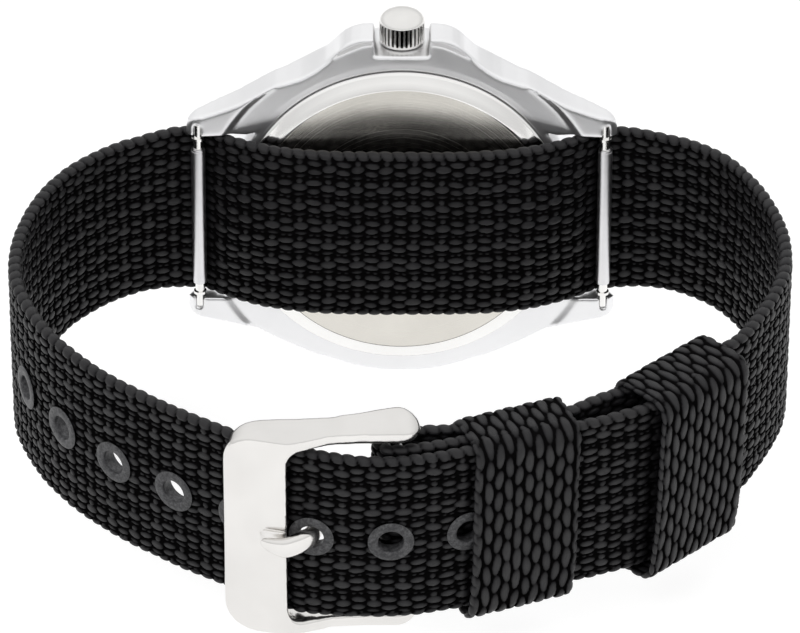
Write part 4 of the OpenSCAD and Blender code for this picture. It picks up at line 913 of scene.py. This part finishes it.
def make_crown():
    """A fluted drum with a domed cap, its grooves marked so that the material paints them dark, a painted
    shade.
    """
    foot, flute_low, flute_high = 18.98, 19.32, 21.35
    section = [(0, 20.8), (1.45, 20.8), (1.45, foot), (2.2, foot), (CROWN_R, foot + 0.1)]
    section += [(CROWN_R, h) for h in (
        flute_low - 0.04, flute_low, flute_low + 0.06, flute_low + 0.2, 20.3,
        flute_high - 0.2, flute_high - 0.06, flute_high, flute_high + 0.04)]
    section += [(CROWN_R - 0.03, 21.5), (CROWN_R - 0.12, 21.68), (2.0, 21.95), (1.65, 22.16), (1.1, 22.34),
                (0.5, 22.42), (0, 22.44)]
    section = np.array(section)
    steps = CROWN_FLUTES * FLUTE_STEPS
    turn = np.arange(steps) / FLUTE_STEPS
    within = np.abs(turn - np.floor(turn) - 0.5)
    groove = np.where(within < GROOVE_HALF, np.cos(within / GROOVE_HALF * math.pi / 2), 0)
    fluted = np.array([1.0 if flute_low < h < flute_high and r == CROWN_R else 0.0 for r, h in section])
    r = section[:, :1] - GROOVE_DEPTH * fluted[:, None] * groove[None]
    a = turn * 2 * math.pi / CROWN_FLUTES
    h = np.broadcast_to(section[:, 1:], r.shape)
    points = np.stack([h, r * np.cos(a), CROWN_Z + r * np.sin(a)], -1)
    quads = np.roll(ring_quads(len(section), steps)[..., ::-1], 1, axis=-1).reshape(-1, 4)
    # The relief falls below zero in the grooves, and the material paints them dark there: painted shade.
    relief = 1 - 1.15 * fluted[:, None] * groove[None]
    crown = mesh_object("crown_turned", from_case(points.reshape(-1, 3)), quads.tolist(), relief=relief)
    clean_mesh(crown, 1e-8)
    sharpen(crown, 42)
    dress(crown, CROWN_METAL)
    stand_for(crown, "crown")


# How far the case's upper flanks are trimmed, by distance from the crown's axis, and from which radius out
GUARD_X = [4.2, 5.6, 7, 8.5, 9.5, 10.6, 12, 13, 16, 19, 22]
GUARD_DROP = [0, 0.3, 0.55, 0.72, 0.8, 0.8, 0.75, 0.65, 0.4, 0.3, 0.45]
GUARD_FROM_R = 17.9
GUARD_FADE = 1.1


def pull_guards(piece):
    """Trims the upper flanks of a copy of the mid case to the straight shoulders seen in the photograph."""
    w = (points_of(piece.data) - ORIGIN) / MM
    drop = np.interp(np.abs(w[:, 0]), GUARD_X, GUARD_DROP)
    share = np.clip((np.hypot(w[:, 0], w[:, 2]) - GUARD_FROM_R) / GUARD_FADE, 0, 1) * (w[:, 2] > 5)
    w[:, 2] -= drop * share
    move_points(piece.data, w)


def slim_rim(piece, from_r, share):
    """Draws a copy's rim in towards from_r, so that it stays behind the shoulders seen from the back."""
    w = (points_of(piece.data) - ORIGIN) / MM
    r = np.hypot(w[:, 0], w[:, 2])
    pull = np.where(r > from_r, (from_r + (r - from_r) * share) / np.maximum(r, 1), 1)
    w[:, 0] *= pull
    w[:, 2] *= pull
    move_points(piece.data, w)


# Outer radii of the case back's brushed disc and of its polished ring
BACK_DISC_R = 15.5
BACK_RING_R = 17.2


def make_case_back():
    """A brushed disc in a polished ring, with a fine step between, and the wall that snaps into the case."""
    back_z, rim_z, seam_z, wall_top = -1.0, -0.25, -0.02, 1.5
    disc = [(0, back_z), (8, back_z), (BACK_DISC_R - 0.05, back_z), (BACK_DISC_R, back_z + 0.03)]
    ring = [(BACK_DISC_R + 0.03, back_z - 0.01), (BACK_DISC_R + 0.3, back_z + 0.05), (16.3, -0.66),
            (BACK_RING_R - 0.25, rim_z - 0.1), (BACK_RING_R - 0.06, rim_z - 0.02), (BACK_RING_R, rim_z + 0.08)]
    inside = [(BACK_RING_R, seam_z), (16.3, seam_z), (16.3, wall_top - 0.5), (16.2, wall_top), (15.6, wall_top),
              (15.6, -0.2), (0, -0.2)]
    back = lathe("case_back_turned", disc + ring + inside, from_case, 256)
    sharpen(back, 40)
    for material in (BACK_BRUSHED, POLISHED):
        back.data.materials.append(material)
    index = []
    for face in back.data.polygons:
        c = np.array(face.center) - ORIGIN
        index.append(0 if math.hypot(c[0], c[2]) < BACK_DISC_R * MM and c[1] < -0.5 * MM else 1)
    back.data.polygons.foreach_set("material_index", index)
    stand_for(back, "case_back")


# Dial side, in the case's axes: heights and radii, and each hand's top, length, width and direction
DIAL_TOP = 5.1
TRACK_R = 13.35
NUMERAL_R = 8.75
NUMERAL_SIZE = 2.5
PRINT_T = 0.03
HANDS = {"hour_hand": (5.7, 8.2, 1.5, 145), "minute_hand": (6.1, 12.2, 1.2, 29)}


def flat_plate(name, outline, low, high, node, material):
    """A thin plate over an outline in the dial's plane, riding with a node."""
    outline = np.asarray(outline, float)
    n = len(outline)
    points = np.concatenate([np.column_stack([outline, np.full(n, height)]) for height in (low, high)])
    faces = [list(range(n))[::-1], list(range(n, 2 * n))]
    faces += [[i, (i + 1) % n, n + (i + 1) % n, n + i] for i in range(n)]
    piece = mesh_object(name, from_case(points), faces, smooth=False)
    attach(piece, node_body(node))
    return dress(piece, material)


def turned(points, degrees):
    a = math.radians(degrees)
    x, y = np.asarray(points, float).T
    return np.column_stack([x * math.cos(a) - y * math.sin(a), x * math.sin(a) + y * math.cos(a)])


def make_minute_track():
    points, faces = [], []
    for minute in range(60):
        half_w, half_l = (0.13, 0.42) if minute % 5 == 0 else (0.05, 0.3)
        tick = turned([(TRACK_R + half_l * a, half_w * b) for a, b in SQUARE], minute * 6)
        first = len(points)
        for height in (DIAL_TOP - 0.01, DIAL_TOP + PRINT_T):
            points += [(x, y, height) for x, y in tick]
        faces += [[first + i for i in face] for face in
                  ((3, 2, 1, 0), (4, 5, 6, 7), (0, 1, 5, 4), (1, 2, 6, 5), (2, 3, 7, 6), (3, 0, 4, 7))]
    piece = mesh_object("dial_minute_track", from_case(points), faces, smooth=False)
    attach(piece, node_body("dial"))
    dress(piece, PRINT)


def make_numerals():
    """The twelve hours in plain type, upright on the dial."""
    for hour in range(1, 13):
        angle = math.radians(90 - 30 * hour)
        text = bpy.data.curves.new(f"hour_{hour}", "FONT")
        text.body = str(hour)
        text.size = NUMERAL_SIZE
        text.align_x = "CENTER"
        text.align_y = "CENTER"
        text.extrude = PRINT_T / 2
        text.offset = 0.04
        holder = bpy.data.objects.new(f"hour_{hour}", text)
        flat = bpy.data.meshes.new_from_object(holder)
        bpy.data.objects.remove(holder)
        # The type's x runs to 3 o'clock and its y to 12 o'clock
        x, y, z = points_of(flat).T
        centre_x, centre_y = (x.min() + x.max()) / 2, (y.min() + y.max()) / 2
        right = x - centre_x + NUMERAL_R * math.cos(angle)
        up = y - centre_y + NUMERAL_R * math.sin(angle)
        points = np.column_stack([right, up, z + DIAL_TOP + PRINT_T / 2])
        piece = mesh_object(f"dial_hour_{hour}", from_case(points), [list(f.vertices) for f in flat.polygons],
                            smooth=False)
        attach(piece, node_body("dial"))
        dress(piece, PRINT)


def make_hand_inlays():
    for node, (top, reach, width, degrees) in HANDS.items():
        from_r, to_r, tip_r = reach * 0.32, reach * 0.8, reach * 0.86
        half = [(from_r, width * 0.29), (to_r, width * 0.23)]
        outline = [(r, -w) for r, w in half] + [(tip_r, 0)] + [(r, w) for r, w in reversed(half)]
        flat_plate(f"{node}_lume", turned(outline, degrees), top - 0.01, top + 0.04, node, LUME)


# Rows of stitches, from the fixed keeper's middle, and the stitches in each
STITCH_ROWS = (-3.7, 2.1)
STITCH_COUNT = 6
STITCH_PITCH = 2.9
STITCH_HALF = 1.1


def make_stitches():
    """Rounded stitches of thick thread on the wrist's side of the fold."""
    half = [(0.25, 0.6), (0.22, 0.92), (0.14, 1.06), (0, STITCH_HALF)]
    section = [(r, -h) for r, h in reversed(half)] + half
    for row, offset in enumerate(STITCH_ROWS):
        place, heading, inward, across = on_strap(KEEPER_S + offset)
        for k in range(STITCH_COUNT):
            middle = (k - (STITCH_COUNT - 1) / 2) * STITCH_PITCH

            def lay(points):
                points = np.asarray(points)
                deep = 2 * LAYER_PITCH + STRAP_T / 2 + 0.1 - 0.12 * (points[:, 2:] / STITCH_HALF) ** 4
                return (place + heading * points[:, :1] + inward * (points[:, 1:2] * 0.7 + deep)
                        + across * (points[:, 2:] + middle))

            piece = dress(lathe(f"stitch_{row + 1}_{k + 1}", section, lay, 16, closed=False), THREAD)
            stand_for(piece, "fold_stitching")


def main():
    make_strap()
    make_stitches()
    make_minute_track()
    make_numerals()
    make_hand_inlays()
    make_keeper("webbing_keeper", "keeper_fixed", KEEPER_S, layers=3, slack=0.1, sag=0.4, length=11.2,
                ahead=-1.0, lean=0.4)
    make_keeper("webbing_slider", "keeper_sliding", SLIDER_S, layers=2, slack=2.4, sag=0.2, length=12,
                ahead=-0.9, lean=0.7)
    make_eyelets()
    dress(softened("buckle_frame", voxel=0.13, rounds=60, regain=0.1), BUCKLE_METAL)
    make_tang()
    make_springs()
    mid_case = softened("mid_case", voxel=0.17, rounds=7, regain=0.02)
    pull_guards(mid_case)
    dress(mid_case, CASE_METAL)
    bezel = refined("bezel", 0.1)
    slim_rim(bezel, from_r=17.4, share=0.6)
    dress(bezel, POLISHED)
    make_crown()
    make_case_back()


main()

# Finishes of the CAD nodes that stay as they are
FINISHES = {
    SATIN: ["lug_bar_12", "lug_bar_6", "buckle_bar", "stem", "crown_tube", "battery_clamp", "setting_lever"],
    POLISHED: [f"{bar}_pin_{end}" for bar in SPRING_HALVES for end in ("upper", "lower")]
    + ["movement_screws", "hour_hand", "minute_hand"],
    NICKEL: ["main_plate", "train_bridge", "battery", "quartz_can", "stator", "coil_core", "rotor"],
    BRASS: ["fifth_wheel", "second_wheel", "third_wheel", "centre_wheel", "minute_wheel", "hour_wheel",
            "setting_wheel", "clutch_wheel"],
    COPPER: ["coil_winding"],
    WHITE_PLASTIC: ["movement_holder", "crystal_gasket"],
    BLACK_RUBBER: ["case_back_gasket", "crown_gasket"],
    GREEN_BOARD: ["circuit_board"],
    DIAL_LACQUER: ["dial", "chapter_ring"],
    LUME: ["hour_markers"],
    RED_LACQUER: ["second_hand"],
    GLASS: ["crystal"],
}
for material, names in FINISHES.items():
    for name in names:
        dress(frame["nodes"][name], material)


# Floor, backdrop and light
def glowing_when_seen(material, glow, albedo):
    """Matt, with a glow for the camera, reflections and glass only, so that it lights nothing else."""
    tree = material.node_tree
    tree.nodes.clear()
    path = tree.nodes.new("ShaderNodeLightPath").outputs
    seen = node_from(tree, "Math", path["Is Camera Ray"], path["Is Glossy Ray"], operation="MAXIMUM")
    seen = node_from(tree, "Math", seen.outputs[0], path["Is Transmission Ray"], operation="MAXIMUM")
    power = node_from(tree, "Math", seen.outputs[0], glow, operation="MULTIPLY")
    shine = tree.nodes.new("ShaderNodeEmission")
    tree.links.new(power.outputs[0], shine.inputs["Strength"])
    matt = node_from(tree, "BsdfDiffuse", (albedo, albedo, albedo, 1))
    both = node_from(tree, "AddShader", matt.outputs[0], shine.outputs[0])
    node_from(tree, "OutputMaterial", both.outputs[0])


def make_floor():
    size = 4000
    z = -ORIGIN[2] / MM - 0.02
    floor = mesh_object("floor", [(size * a, size * b, z) for a, b in SQUARE], [(0, 1, 2, 3)], smooth=False)
    material = bpy.data.materials.new("pale_floor")
    material.use_nodes = True
    glowing_when_seen(material, glow=0.86, albedo=0.3)
    dress(floor, material)


def make_lamp(name, place, aim, size, power):
    data = bpy.data.lights.new(name, "AREA")
    data.shape = "RECTANGLE"
    data.size, data.size_y = size[0] * MM, size[1] * MM
    data.energy = power
    lamp = bpy.data.objects.new(name, data)
    bpy.context.scene.collection.objects.link(lamp)
    lamp.visible_glossy = False
    lamp.location = to_world(place)
    towards = Vector(np.array(aim, float) - np.array(place, float))
    lamp.rotation_euler = towards.to_track_quat("-Z", "Y").to_euler()


def make_world():
    """White for the camera and through glass, shaded to the horizon in reflections, and dimmer as a light."""
    world = bpy.data.worlds.new("studio")
    bpy.context.scene.world = world
    world.use_nodes = True
    tree = world.node_tree
    tree.nodes.clear()
    path = tree.nodes.new("ShaderNodeLightPath").outputs
    seen = node_from(tree, "Math", path["Is Camera Ray"], path["Is Transmission Ray"], operation="MAXIMUM")
    soft = tree.nodes.new("ShaderNodeBackground")
    soft.inputs["Strength"].default_value = 0.5
    place = tree.nodes.new("ShaderNodeTexCoord")
    height = node_from(tree, "SeparateXYZ", place.outputs["Generated"])
    shaded = tree.nodes.new("ShaderNodeBackground")
    strength = remap(tree, height.outputs["Z"], 0.9, 1.2, from_low=0.1, from_high=0.5)
    tree.links.new(strength, shaded.inputs["Strength"])
    white = tree.nodes.new("ShaderNodeBackground")
    unseen = node_from(tree, "MixShader", path["Is Glossy Ray"], soft.outputs[0], shaded.outputs[0])
    mix = node_from(tree, "MixShader", seen.outputs[0], unseen.outputs[0], white.outputs[0])
    node_from(tree, "OutputWorld", mix.outputs[0])


def make_camera():
    data = bpy.data.cameras.new("camera")
    data.lens = CAMERA_LENS
    data.sensor_width = 36
    data.clip_start, data.clip_end = 0.01, 20
    camera = bpy.data.objects.new("camera", data)
    bpy.context.scene.collection.objects.link(camera)
    target = to_world(CAMERA_TARGET)
    back = np.array([0, -math.cos(CAMERA_RISE), math.sin(CAMERA_RISE)])
    camera.location = target + back * CAMERA_DISTANCE * MM
    look = Vector(-back).to_track_quat("-Z", "Y").to_matrix()
    camera.rotation_euler = (look @ Matrix.Rotation(CAMERA_ROLL, 3, "Z")).to_euler()
    bpy.context.scene.camera = camera


make_camera()
make_floor()
make_world()
make_lamp("key", place=(-260, -420, 520), aim=(0, -20, 0), size=(420, 320), power=1.6)
make_lamp("fill", place=(420, -300, 260), aim=(0, -20, 0), size=(300, 300), power=0.5)
make_lamp("top", place=(60, 260, 480), aim=(0, 0, 0), size=(500, 300), power=0.6)
bpy.context.scene.view_settings.view_transform = "Standard"
